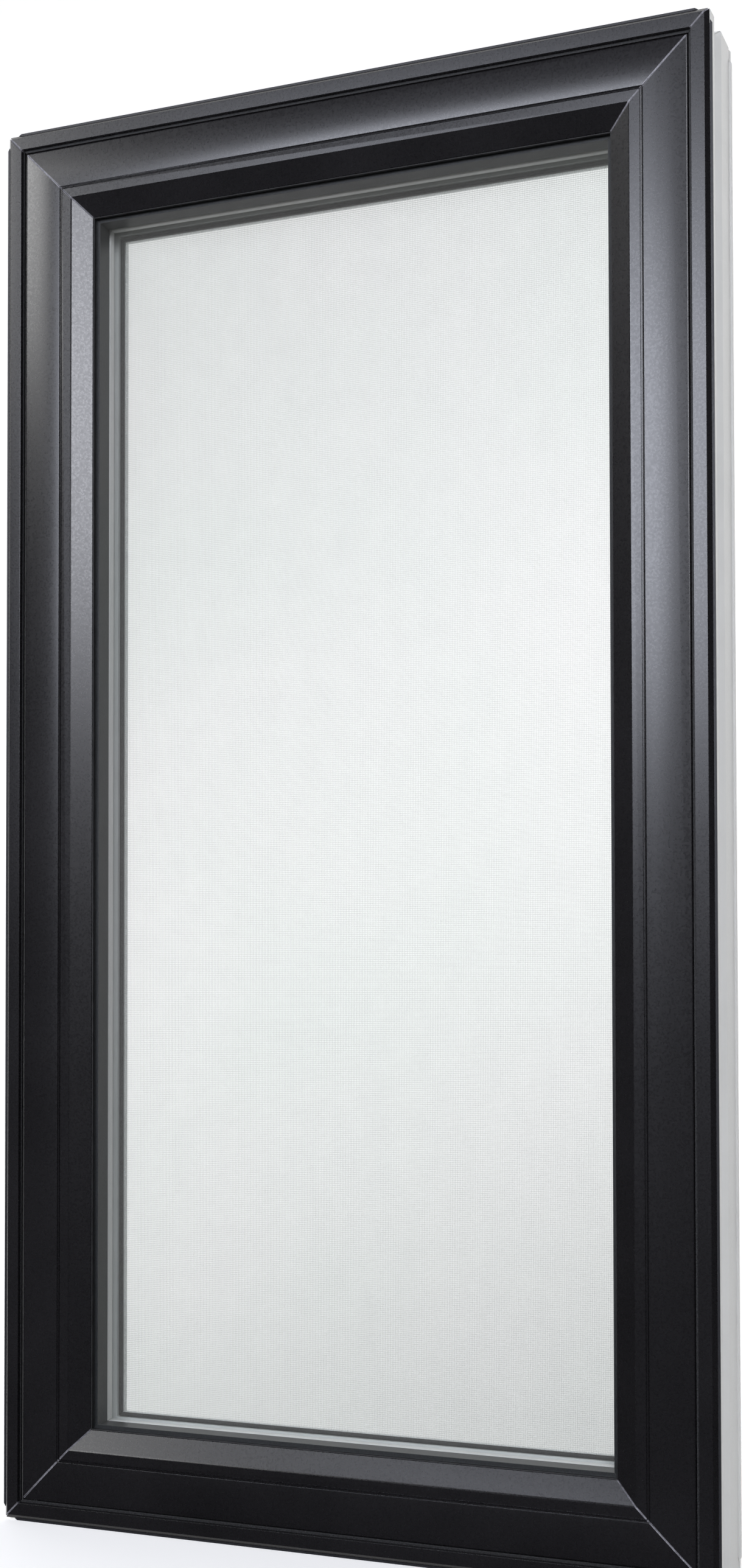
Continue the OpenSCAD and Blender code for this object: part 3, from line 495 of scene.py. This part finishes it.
def edges_to_ease(shape, radius):
    """Sharp edges whose two faces are both wide enough for the radius."""
    chosen = []
    for edge in shape.edges:
        if len(edge.link_faces) != 2 or edge.calc_length() < WIDTH_FOR_RADIUS * radius:
            continue
        if edge.calc_face_angle(0.0) < SHARP_TO_EASE:
            continue
        widths = [face.calc_area() / edge.calc_length() for face in edge.link_faces]
        if min(widths) > WIDTH_FOR_RADIUS * radius:
            chosen.append(edge)
    return chosen


trial = merged_copy("crank_hub")
print("crank hub:", len(trial.faces), "faces,", len(edges_to_ease(trial, MM)), "edges take a 1 mm radius")
trial.free()

# %% [markdown]
# ## Weld seams
#
# The rails are welded at their corners, and a knife takes off the bead that the weld pushes out. It leaves a
# narrow flat line along the mitre, about a millimetre wide over both rails. The rails are separate solids
# that end on the mitre plane, so a small chamfer on each rail's end edges makes the line between them.

# %% Cut the seam at a mitre
SEAM_WIDTH = 0.7 * MM


def on_mitre(point, slack=0.25 * MM):
    """True where a point lies on one of the four 45 degree corner planes."""
    across = min(point.x - LEFT, RIGHT - point.x)
    up = min(point.z - LOW, HIGH - point.z)
    return abs(across - up) < slack


def cut_weld_seams(shape, seam_material):
    """Chamfers the edges that meet at the mitres, as the knife that cleans a corner weld does."""
    seam = []
    for edge in shape.edges:
        start, end = edge.verts[0].co, edge.verts[1].co
        if len(edge.link_faces) != 2 or edge.calc_length() <= 2 * SEAM_WIDTH:
            continue
        # A rail's long edges end on two mitres, so the middle of the edge has to lie on one as well
        if on_mitre(start) and on_mitre(end) and on_mitre((start + end) / 2):
            seam.append(edge)
    made = bmesh.ops.bevel(shape, geom=seam, offset=SEAM_WIDTH, offset_type="OFFSET", affect="EDGES",
                           segments=1, profile=0.5, material=seam_material, clamp_overlap=False)
    return len(made["faces"])


print("seam", round(2 * SEAM_WIDTH / MM, 2), "mm over two rails, at most")

# %% [markdown]
# ## From mesh to piece
#
# A piece needs a body to ride on, a slot to take its finish from, and the name of the solid that it stands
# for. Face-weighted normals keep wide faces looking flat beside a small bevel, without any extra geometry.


# %% Finish a piece, and ease a solid
def finished(name, shape, body, materials, replaced=()):
    """Makes a bmesh an object that rides on a body, smooth where its faces meet gently."""
    mesh = bpy.data.meshes.new(name)
    shape.to_mesh(mesh)
    shape.free()
    mesh.shade_smooth()
    mesh.set_sharp_from_angle(angle=SHARP_TO_SHADE)
    for material in materials:
        mesh.materials.append(material)
    piece = bpy.data.objects.new(name, mesh)
    bpy.context.scene.collection.objects.link(piece)
    weighted = piece.modifiers.new("face_weighted_normals", "WEIGHTED_NORMAL")
    weighted.keep_sharp = True
    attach(piece, body)
    if replaced:
        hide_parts(*replaced)
    return piece


def eased(node, radius_mm, segments=2, materials=None, seam_material=None):
    """Stands in for a CAD node with the same shape and small radii on its edges."""
    shape = merged_copy(node)
    if seam_material is not None:
        print(node, "weld seam faces", cut_weld_seams(shape, seam_material))
    chosen = edges_to_ease(shape, radius_mm * MM)
    bmesh.ops.bevel(shape, geom=chosen, offset=radius_mm * MM, offset_type="OFFSET", affect="EDGES",
                    segments=segments, profile=0.5, material=-1, clamp_overlap=True)
    body, slot = BODY_OF[node], SLOT_OF[node]
    finish = materials or [NODE_FINISH.get(node, SLOT_FINISH[slot])]
    piece = finished("eased_" + node, shape, body, finish, [node])
    print(node, "edges eased", len(chosen), "faces", len(piece.data.polygons))
    return piece


print("nodes that can be eased", len(frame["nodes"]))

# %% [markdown]
# ## Frame and sash profiles in two colours
#
# The dark skin covers only what the weather sees: the frame's nose with its outer chamfer, and the sash's
# face back to its lip. What lies behind stays white. The colour is picked face by face from how deep the
# face lies and how far in it is. Where a mitre is cut through the dark skin, the cut keeps its own finish.

# %% Two-colour rails
NOSE_DEPTH, NOSE_EDGE, CHAMFER_DEPTH = 8.2 * MM, 3.4 * MM, 3.4 * MM
LIP_DEPTH = 12.7 * MM
FRAME_RADIUS_MM, SASH_RADIUS_MM = 0.4, 0.5
VINYL_SKINS = [WHITE_VINYL, BLACK_VINYL, WELD_AND_HIGHLIGHT]
FRAME_RAILS = ["frame_sill", "frame_head", "frame_left_jamb", "frame_right_jamb"]
SASH_RAILS = ["sash_bottom_rail", "sash_top_rail", "sash_hinge_stile", "sash_lock_stile"]


def paint_by_place(piece, is_black):
    """Gives each face the second material where is_black says so of its centre."""
    black = 0
    for face in piece.data.polygons:
        if is_black(face.center):
            black += 1
            face.material_index = max(face.material_index, 1)
        else:
            face.material_index = 0
    return black


def on_nose(point):
    """True on the nose and on the chamfer outside it."""
    return depth(point) < CHAMFER_DEPTH or (depth(point) < NOSE_DEPTH and inward(point) > NOSE_EDGE)


# The mitre seams take the pale weld finish, which also paints a highlight along each seam
for node in FRAME_RAILS:
    rail = eased(node, FRAME_RADIUS_MM, materials=VINYL_SKINS, seam_material=VINYL_SKINS.index(WELD_AND_HIGHLIGHT))
    count = paint_by_place(rail, on_nose)
    print(node, "black faces", count)
for node in SASH_RAILS:
    rail = eased(node, SASH_RADIUS_MM, materials=VINYL_SKINS, seam_material=VINYL_SKINS.index(WELD_AND_HIGHLIGHT))
    count = paint_by_place(rail, lambda p: depth(p) < LIP_DEPTH)
    print(node, "black faces", count)

# %% [markdown]
# ## Seals, glass unit and hardware
#
# The rest is eased with radii that suit how each piece is made: a few tenths of a millimetre on stamped and
# extruded parts, half a millimetre on mouldings, and a millimetre or more on cast handles that a hand holds.

# %% Ease the smaller pieces
RADII_MM = {
    0.2: ["front_groove_strips", "pane_spacer", "lower_hinge_frame_leaf", "upper_hinge_frame_leaf",
          "lower_hinge_sash_leaf", "upper_hinge_sash_leaf", "operator_arm", "sash_track", "tie_bar",
          "tie_bar_studs", "arm_pivot_pin", "hinge_pins", "fold_pin", "screen_plunger_left",
          "screen_plunger_right"],
    0.3: ["outer_glazing_gasket", "frame_weatherstrip", "sash_keepers", "tie_bar_guides",
          "hinge_bushings", "arm_roller", "screen_bottom_rail", "screen_top_rail",
          "screen_left_rail", "screen_right_rail", "screen_corner_keys", "frame_screws",
          "sash_screws"],
    0.6: ["rear_groove_strips", "stop_seal", "bottom_glazing_bead", "top_glazing_bead",
          "left_glazing_bead", "right_glazing_bead", "operator_base"],
    1.1: ["screen_spline", "crank_hub", "operator_cover"],
    1.6: ["lock_escutcheon", "crank_knob"],
}
BROAD_RADIUS_MM = 0.5
for radius, nodes in RADII_MM.items():
    for node in nodes:
        eased(node, radius, segments=3 if radius > BROAD_RADIUS_MM else 2)
print("pieces eased", sum(len(nodes) for nodes in RADII_MM.values()))

# %% [markdown]
# ## Cast handles
#
# The crank's lever and the lock's lever are die castings. Each is a bar drawn in at its waist, where a finger
# curls round it, with a round eye at one end and a round pad at the other. Each is shaped in its own frame,
# then placed at its joint. A subdivided cage would give softer forms, but its size would be harder to keep
# inside the solid that it stands for.

# %% Bars and bosses
JOINTS = {joint["name"]: joint for joint in frame["record"]["behaviour"]["joints"]}
CORNER = 1.0  # radians between two faces, past which an edge counts as a corner
BAR_CUTS, ROUND_STEPS, EASE_STEPS = 18, 48, 4


def joint_frame(name, across, along):
    """Frame at a joint: X runs along the lever, Y along the given direction."""
    x, y = Vector(across).normalized(), Vector(along).normalized()
    turn = Matrix((x, y, x.cross(y))).transposed().to_4x4()
    return Matrix.Translation(JOINTS[name]["pos_m"]) @ turn


def round_boss(shape, centre, radius, height, turn, ease):
    """A disc with an eased rim."""
    place = Matrix.Translation(centre) @ turn
    verts = bmesh.ops.create_cone(shape, cap_ends=True, segments=ROUND_STEPS, radius1=radius,
                                  radius2=radius, depth=height, matrix=place)["verts"]
    rims = {e for v in verts for e in v.link_edges if e.calc_face_angle(0.0) > CORNER}
    bmesh.ops.bevel(shape, geom=list(rims), offset=ease, offset_type="OFFSET", affect="EDGES",
                    segments=EASE_STEPS, profile=0.5, material=-1, clamp_overlap=True)


def waisted_bar(reach, wide, thick, lift, waist, ease):
    """A bar along X, narrower at its middle, with well rounded long edges."""
    shape = bmesh.new()
    place = Matrix.Translation((reach / 2, lift, 0)) @ Matrix.Diagonal((reach, thick, wide, 1.0))
    bmesh.ops.create_cube(shape, size=1.0, matrix=place)
    long_edges = [e for e in shape.edges if abs(e.verts[0].co.x - e.verts[1].co.x) > reach / 2]
    bmesh.ops.subdivide_edges(shape, edges=long_edges, cuts=BAR_CUTS, use_grid_fill=True)
    for v in shape.verts:
        bend = math.sin(math.pi * v.co.x / reach)
        v.co.z *= 1 - waist * bend
        v.co.y = lift + (v.co.y - lift) * (1 - waist * bend / 2)
    corners = [e for e in shape.edges
               if abs(e.verts[0].co.x - e.verts[1].co.x) > 0.01 * MM and e.calc_face_angle(0.0) > CORNER]
    bmesh.ops.bevel(shape, geom=corners, offset=ease, offset_type="OFFSET", affect="EDGES",
                    segments=EASE_STEPS, profile=0.5, material=-1, clamp_overlap=False)
    return shape


ALONG_Z = Matrix.Identity(4)
ALONG_Y = Matrix.Rotation(math.pi / 2, 4, "X")
print("joints to place at", len(JOINTS))

# %% [markdown]
# ## The crank lever
#
# It folds on a pin through its eye, and its knob spins on a pin at its far end. The eye lies across the lever
# and the knob's seat lies flat, so the two discs are turned differently.

# %% Shape the crank lever
CRANK_WIDE, CRANK_THICK, CRANK_WAIST = 9 * MM, 8 * MM, 0.3
EYE_RADIUS, KNOB_SEAT_RADIUS = 6 * MM, 8 * MM
KNOB_PIN_RADIUS, KNOB_PIN_LENGTH, KNOB_PIN_MIDDLE = 2.5 * MM, 14 * MM, 10 * MM
fold = joint_frame("handle_fold", (1, 0, 0), JOINTS["crank_turn"]["axis"])
lever_reach = JOINTS["knob_spin"]["pos_m"][0] - JOINTS["handle_fold"]["pos_m"][0]
knob_seat, knob_pin = (lever_reach, 0, 0), (lever_reach, KNOB_PIN_MIDDLE, 0)
crank_shape = waisted_bar(lever_reach, CRANK_WIDE, CRANK_THICK, 0, CRANK_WAIST, 2.2 * MM)
round_boss(crank_shape, (0, 0, 0), EYE_RADIUS, CRANK_WIDE, ALONG_Z, 0.9 * MM)
round_boss(crank_shape, knob_seat, KNOB_SEAT_RADIUS, CRANK_THICK, ALONG_Y, 1.4 * MM)
round_boss(crank_shape, knob_pin, KNOB_PIN_RADIUS, KNOB_PIN_LENGTH, ALONG_Y, 0.3 * MM)
bmesh.ops.transform(crank_shape, matrix=fold, verts=crank_shape.verts)
finished("cast_crank_lever", crank_shape, "handle", [ENAMEL], ["crank_lever"])
print("crank lever reach", round(lever_reach, 4))

# %% [markdown]
# ## The lock lever
#
# It turns on a shaft behind a round boss that stands just clear of its plate. Its reach and its height are
# taken from its own solid, so it keeps that solid's box.

# %% Shape the lock lever
lock_low, lock_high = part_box("lock_lever")
lock_base = JOINTS["lock_turn"]["pos_m"]
PAD_RADIUS, LEVER_THICK, LOCK_WAIST = 7 * MM, 8 * MM, 0.25
BOSS_RADIUS, LOCK_SHAFT_RADIUS = 11 * MM, 5 * MM
PLATE_CLEARANCE, SHAFT_OVERLAP = 0.3 * MM, 0.2 * MM
lock_reach = lock_high.z - PAD_RADIUS - lock_base[2]
lever_mid = lock_high.y - LEVER_THICK / 2 - lock_base[1]
plate_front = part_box("lock_escutcheon")[1].y - lock_base[1]
lock = joint_frame("lock_turn", (0, 0, 1), (0, 1, 0))
lock_shape = waisted_bar(lock_reach, 2 * PAD_RADIUS, LEVER_THICK, lever_mid, LOCK_WAIST, 2.6 * MM)
boss_back, boss_front = plate_front + PLATE_CLEARANCE, lock_high.y - lock_base[1]
boss_middle = (0, (boss_back + boss_front) / 2, 0)
round_boss(lock_shape, boss_middle, BOSS_RADIUS, boss_front - boss_back, ALONG_Y, 1.6 * MM)
round_boss(lock_shape, (lock_reach, lever_mid, 0), PAD_RADIUS, LEVER_THICK, ALONG_Y, 2.4 * MM)
shaft_back = lock_low.y - lock_base[1]
round_boss(lock_shape, (0, (shaft_back + boss_back) / 2, 0), LOCK_SHAFT_RADIUS,
           boss_back - shaft_back + SHAFT_OVERLAP, ALONG_Y, 0.2 * MM)
bmesh.ops.transform(lock_shape, matrix=lock, verts=lock_shape.verts)
finished("cast_lock_lever", lock_shape, "lock_handle", [ENAMEL], ["lock_lever"])
print("lock lever reach", round(lock_reach, 4))

# %% [markdown]
# ## The insect mesh
#
# Window screening is woven from vinyl-coated glass fibre, 18 threads to the inch across and 16 up, and the
# coats melt together where threads cross. This one is the clear kind: its threads are pale and let nearly all
# the light through, so the view stays bright. It is modelled thread by thread: each is a thin square bar,
# because hundreds of them need to stay light, and the two sets sit a hair apart in depth so they fuse where
# they cross.

# %% Weave the insect mesh
INCH = 25.4 * MM
THREAD, SETS_APART = 0.28 * MM, 0.06 * MM
THREADS_ACROSS, THREADS_UP = 18 / INCH, 16 / INCH
MESH_LOW, MESH_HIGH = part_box("screen_mesh")
mesh_depth = (MESH_LOW.y + MESH_HIGH.y) / 2
weave = bmesh.new()


def thread(centre, size):
    """One straight thread as a thin bar."""
    place = Matrix.Translation(centre) @ Matrix.Diagonal((*size, 1.0))
    bmesh.ops.create_cube(weave, size=1.0, matrix=place)


mesh_w, mesh_h = MESH_HIGH.x - MESH_LOW.x, MESH_HIGH.z - MESH_LOW.z
upright_count, level_count = round(mesh_w * THREADS_ACROSS), round(mesh_h * THREADS_UP)
for k in range(upright_count):
    x = MESH_LOW.x + (k + 0.5) * mesh_w / upright_count
    thread((x, mesh_depth - SETS_APART, MIDDLE.z), (THREAD, THREAD, mesh_h))
for k in range(level_count):
    z = MESH_LOW.z + (k + 0.5) * mesh_h / level_count
    thread((MIDDLE.x, mesh_depth + SETS_APART, z), (mesh_w, THREAD, THREAD))
insect_mesh = finished("woven_insect_mesh", weave, "window_frame", [FIBRE],
                       ["screen_mesh"])
print("threads", upright_count, "by", level_count, "faces", len(insect_mesh.data.polygons))

# %% [markdown]
# ## Floor, light and camera
#
# The window stands on a pale floor that sweeps up into a bright backdrop. The studio is bright behind the
# window, so the glass and the mesh read as a soft gradient, and dark in front, so the black vinyl keeps its
# depth. Softboxes in front, set high, draw long soft highlights down the upper part of the profiles. The
# world's level depends on the kind of ray: what the panes let through, what surfaces mirror, and the open
# backdrop each get their own, as each lamp in a studio is set by itself.


# %% Backdrop paint and painted glow
def backdrop_paint_and_painted_glow():
    """Pale matt paint with painted light: it glows brighter further back and a little dimmer higher up."""
    material, tree, shader, place = new_material("pale_backdrop_paint", "#f2f2f2", 0.7)
    parts = add_node(tree, "ShaderNodeSeparateXYZ", links={"Vector": place})
    far = add_node(tree, "ShaderNodeMapRange",
                   {"From Min": 0.2, "From Max": 3.0, "To Min": 0.35, "To Max": 0.8},
                   {"Value": parts.outputs["Y"]})
    high = add_node(tree, "ShaderNodeMapRange",
                    {"From Min": 0.6, "From Max": 4.5, "To Min": 1.0, "To Max": 0.82},
                    {"Value": parts.outputs["Z"]})
    glow = add_node(tree, "ShaderNodeMath", {"operation": "MULTIPLY"},
                    {0: far.outputs["Result"], 1: high.outputs["Result"]})
    # Painted light: the sheet glows though it is no lamp, brighter further back and a little dimmer higher up
    tree.links.new(glow.outputs["Value"], shader.inputs["Emission Strength"])
    shader.inputs["Emission Color"].default_value = (1.0, 1.0, 1.0, 1.0)
    return material


BACKDROP_PAINT_AND_GLOW = backdrop_paint_and_painted_glow()
print("backdrop paint", BACKDROP_PAINT_AND_GLOW.name)

# %% [markdown]
# ## The backdrop
#
# An edge is pulled back to make the floor, spun a quarter turn to make the bend, and pulled up to make the
# wall. One smooth sheet has no corner, so no line shows behind the window.


# %% Floor and wall in one sheet
def build_backdrop(ground, half_width=14.0, front=-9.0, bend_at=3.2, bend_radius=2.2, rise=12.0):
    """Floor that sweeps up into a wall in one smooth sheet."""
    shape = bmesh.new()
    near = [shape.verts.new((x, front, ground)) for x in (-half_width, half_width)]
    edge = shape.edges.new(near)

    def pull(edges, vector):
        made = bmesh.ops.extrude_edge_only(shape, edges=edges)["geom"]
        moved = [g for g in made if isinstance(g, bmesh.types.BMVert)]
        bmesh.ops.translate(shape, verts=moved, vec=vector)
        return [g for g in made if isinstance(g, bmesh.types.BMEdge)]

    far_edge = pull([edge], (0, bend_at - front, 0))
    turned = bmesh.ops.spin(shape, geom=far_edge, cent=(0, bend_at, ground + bend_radius),
                            axis=(1, 0, 0), angle=math.pi / 2, steps=24, use_merge=False)["geom_last"]
    pull([g for g in turned if isinstance(g, bmesh.types.BMEdge)], (0, 0, rise))
    bmesh.ops.recalc_face_normals(shape, faces=shape.faces)
    mesh = bpy.data.meshes.new("backdrop")
    shape.to_mesh(mesh)
    shape.free()
    mesh.shade_smooth()
    mesh.materials.append(BACKDROP_PAINT_AND_GLOW)
    sheet = bpy.data.objects.new("backdrop", mesh)
    bpy.context.scene.collection.objects.link(sheet)
    return sheet


backdrop = build_backdrop(cad_box[0].z)
# The vinyl mirrors only the lights, and the panes show only the even glow of the world behind them
backdrop.visible_glossy = False
backdrop.visible_transmission = False
print("backdrop faces", len(backdrop.data.polygons))

# %% [markdown]
# ## The black flag
#
# In a studio, one side of a white object is shaded with a black card. This one stands beside the window's
# outer side. The camera, mirror rays, rays through the glass and the softboxes' light all pass it, and it
# only takes away the even light that the pale room would throw on that side.

# %% A black flag beside the window
FLAG_CENTRE, FLAG_HEIGHT, FLAG_WIDTH = (1.05, 0.85, 1.1), 2.2, 1.3
flag_place = (Matrix.Translation(FLAG_CENTRE) @ Matrix.Rotation(math.pi / 2, 4, "Y")
              @ Matrix.Diagonal((FLAG_HEIGHT, FLAG_WIDTH, 1.0, 1.0)))
flag_shape = bmesh.new()
bmesh.ops.create_grid(flag_shape, x_segments=1, y_segments=1, size=0.5, matrix=flag_place)
flag_mesh = bpy.data.meshes.new("black_flag")
flag_shape.to_mesh(flag_mesh)
flag_shape.free()
flag_mesh.materials.append(BLACK_STRIP)
flag = bpy.data.objects.new("black_flag", flag_mesh)
bpy.context.scene.collection.objects.link(flag)
flag.visible_camera = flag.visible_glossy = flag.visible_transmission = flag.visible_shadow = False
print("flag at", FLAG_CENTRE)

# %% [markdown]
# ## Panes without softboxes
#
# A softbox mirrored in a pane would be a hard white rectangle over the view. Light linking keeps the
# softboxes off the panes, so they show only what lies behind them, and the panes cast no shadow on it.

# %% Panes that the softboxes leave alone
PANES = [frame["nodes"]["outer_pane"], frame["nodes"]["inner_pane"]]
unlit_panes = bpy.data.collections.new("panes_without_softboxes")
for pane in PANES:
    pane.visible_shadow = False
    unlit_panes.objects.link(pane)
for row in unlit_panes.collection_objects:
    row.light_linking.link_state = "EXCLUDE"
print("panes without softboxes", len(PANES))

# %% [markdown]
# ## Softboxes
#
# Two large softboxes stand in front of the window and high up, one on each side, and a small one at the upper
# left lifts the frame's left side. Their mirror images are what draws the shape of black vinyl, which has
# almost no colour of its own to show.


# %% Softboxes
def softbox(name, centre, target, width, height, power, colour="#ffffff"):
    """A large rectangular light that faces a target point."""
    data = bpy.data.lights.new(name, "AREA")
    data.shape = "RECTANGLE"
    data.size, data.size_y = width, height
    data.energy = power
    data.color = linear(colour)[:3]
    light = bpy.data.objects.new(name, data)
    aim = (Vector(target) - Vector(centre)).to_track_quat("-Z", "Y")
    light.matrix_world = Matrix.Translation(centre) @ aim.to_matrix().to_4x4()
    bpy.context.scene.collection.objects.link(light)
    light.light_linking.receiver_collection = unlit_panes
    return light


softbox("front_softbox", (-0.75, -3.1, 1.7), (0.1, 0, 0.75), 1.5, 1.1, 66, "#eef2ff")
softbox("right_softbox", (1.5, -3.1, 2.0), (-0.2, 0, 0.8), 0.9, 1.2, 62, "#f4f6ff")
softbox("upper_left_softbox", (-1.9, -1.6, 2.1), (-0.3, 0, 0.1), 0.8, 0.8, 18)

# %% [markdown]
# ## The world
#
# A ramp over the direction of each ray gives a slanting bright band behind the window. A sky picture would do
# the same, but a ramp can be set stop by stop.

# %% A slanting bright band behind the window
SLANT = -0.5
BAND_GREYS = [(0.0, 0.36), (0.3, 0.76), (0.55, 1.0), (0.8, 0.80), (1.0, 0.70)]
MIRRORED_FRONT, MIRRORED_BEHIND = 0.05, 1.68
SEEN_THROUGH_FRONT, SEEN_THROUGH_BEHIND = 0.6, 1.21
OPEN_BACKDROP = 1.6
world = bpy.data.worlds.new("bright_studio")
bpy.context.scene.world = world
world.use_nodes = True
tree = world.node_tree
tree.nodes.clear()
ray = add_node(tree, "ShaderNodeTexCoord").outputs["Generated"]
parts = add_node(tree, "ShaderNodeSeparateXYZ", links={"Vector": ray})
lean = add_node(tree, "ShaderNodeMath", {"operation": "MULTIPLY_ADD", 1: SLANT},
                {0: parts.outputs["X"], 2: parts.outputs["Z"]})
across = add_node(tree, "ShaderNodeMapRange", {"From Min": -0.3, "From Max": 0.7},
                  {"Value": lean.outputs["Value"]})
band = add_node(tree, "ShaderNodeValToRGB", links={"Fac": across.outputs["Result"]})
band.color_ramp.interpolation = "B_SPLINE"
band.color_ramp.elements.remove(band.color_ramp.elements[1])
for k, (where, grey) in enumerate(BAND_GREYS):
    stop = band.color_ramp.elements[0] if k == 0 else band.color_ramp.elements.new(where)
    stop.position, stop.color = where, (grey, grey, grey, 1.0)
dark_front = add_node(tree, "ShaderNodeMapRange",
                      {"From Min": 0.0, "From Max": 0.5, "To Min": MIRRORED_FRONT, "To Max": MIRRORED_BEHIND},
                      {"Value": parts.outputs["Y"]})
seen = add_node(tree, "ShaderNodeLightPath")
behind = add_node(tree, "ShaderNodeMapRange",
                  {"From Min": -0.3, "From Max": 0.3, "To Min": SEEN_THROUGH_FRONT,
                   "To Max": SEEN_THROUGH_BEHIND}, {"Value": parts.outputs["Y"]})
through_glass = add_node(tree, "ShaderNodeMix", {"data_type": "FLOAT"},
                         {"Factor": seen.outputs["Is Transmission Ray"],
                          "A": dark_front.outputs["Result"], "B": behind.outputs["Result"]})
level = add_node(tree, "ShaderNodeMix", {"data_type": "FLOAT"},
                 {"Factor": seen.outputs["Is Camera Ray"], "A": through_glass.outputs["Result"]})
level.inputs["B"].default_value = OPEN_BACKDROP
glow = add_node(tree, "ShaderNodeBackground",
                links={"Color": band.outputs["Color"], "Strength": level.outputs["Result"]})
add_node(tree, "ShaderNodeOutputWorld", links={"Surface": glow.outputs["Background"]})
print("world stops", len(band.color_ramp.elements))

# %% [markdown]
# ## Camera
#
# The camera stands near the window, a little to its right and below its middle. It is shifted up, as a view
# camera is, so that it can look nearly level and the window's sides stay almost upright.

# %% Set the camera
CAMERA_PLACE = (0.6145, -1.5085, 0.4538)
YAW, PITCH, ROLL = math.radians(22.006), math.radians(1.51), math.radians(-0.09)
LENS_MM, SENSOR_MM = 45.47, 36.0
SHIFT = (0.0027, 0.0926)


def add_camera():
    data = bpy.data.cameras.new("camera")
    data.sensor_fit = "AUTO"
    data.sensor_width = SENSOR_MM
    data.lens = LENS_MM
    data.shift_x, data.shift_y = SHIFT
    data.clip_start, data.clip_end = 0.05, 60
    camera = bpy.data.objects.new("camera", data)
    upright = Matrix.Rotation(math.pi / 2 + PITCH, 4, "X")
    turn = Matrix.Rotation(YAW, 4, "Z") @ upright @ Matrix.Rotation(ROLL, 4, "Z")
    camera.matrix_world = Matrix.Translation(CAMERA_PLACE) @ turn
    bpy.context.scene.collection.objects.link(camera)
    bpy.context.scene.camera = camera
    return camera


camera = add_camera()
bpy.context.scene.view_settings.view_transform = "Standard"
print("camera at", [round(v, 3) for v in camera.matrix_world.translation])
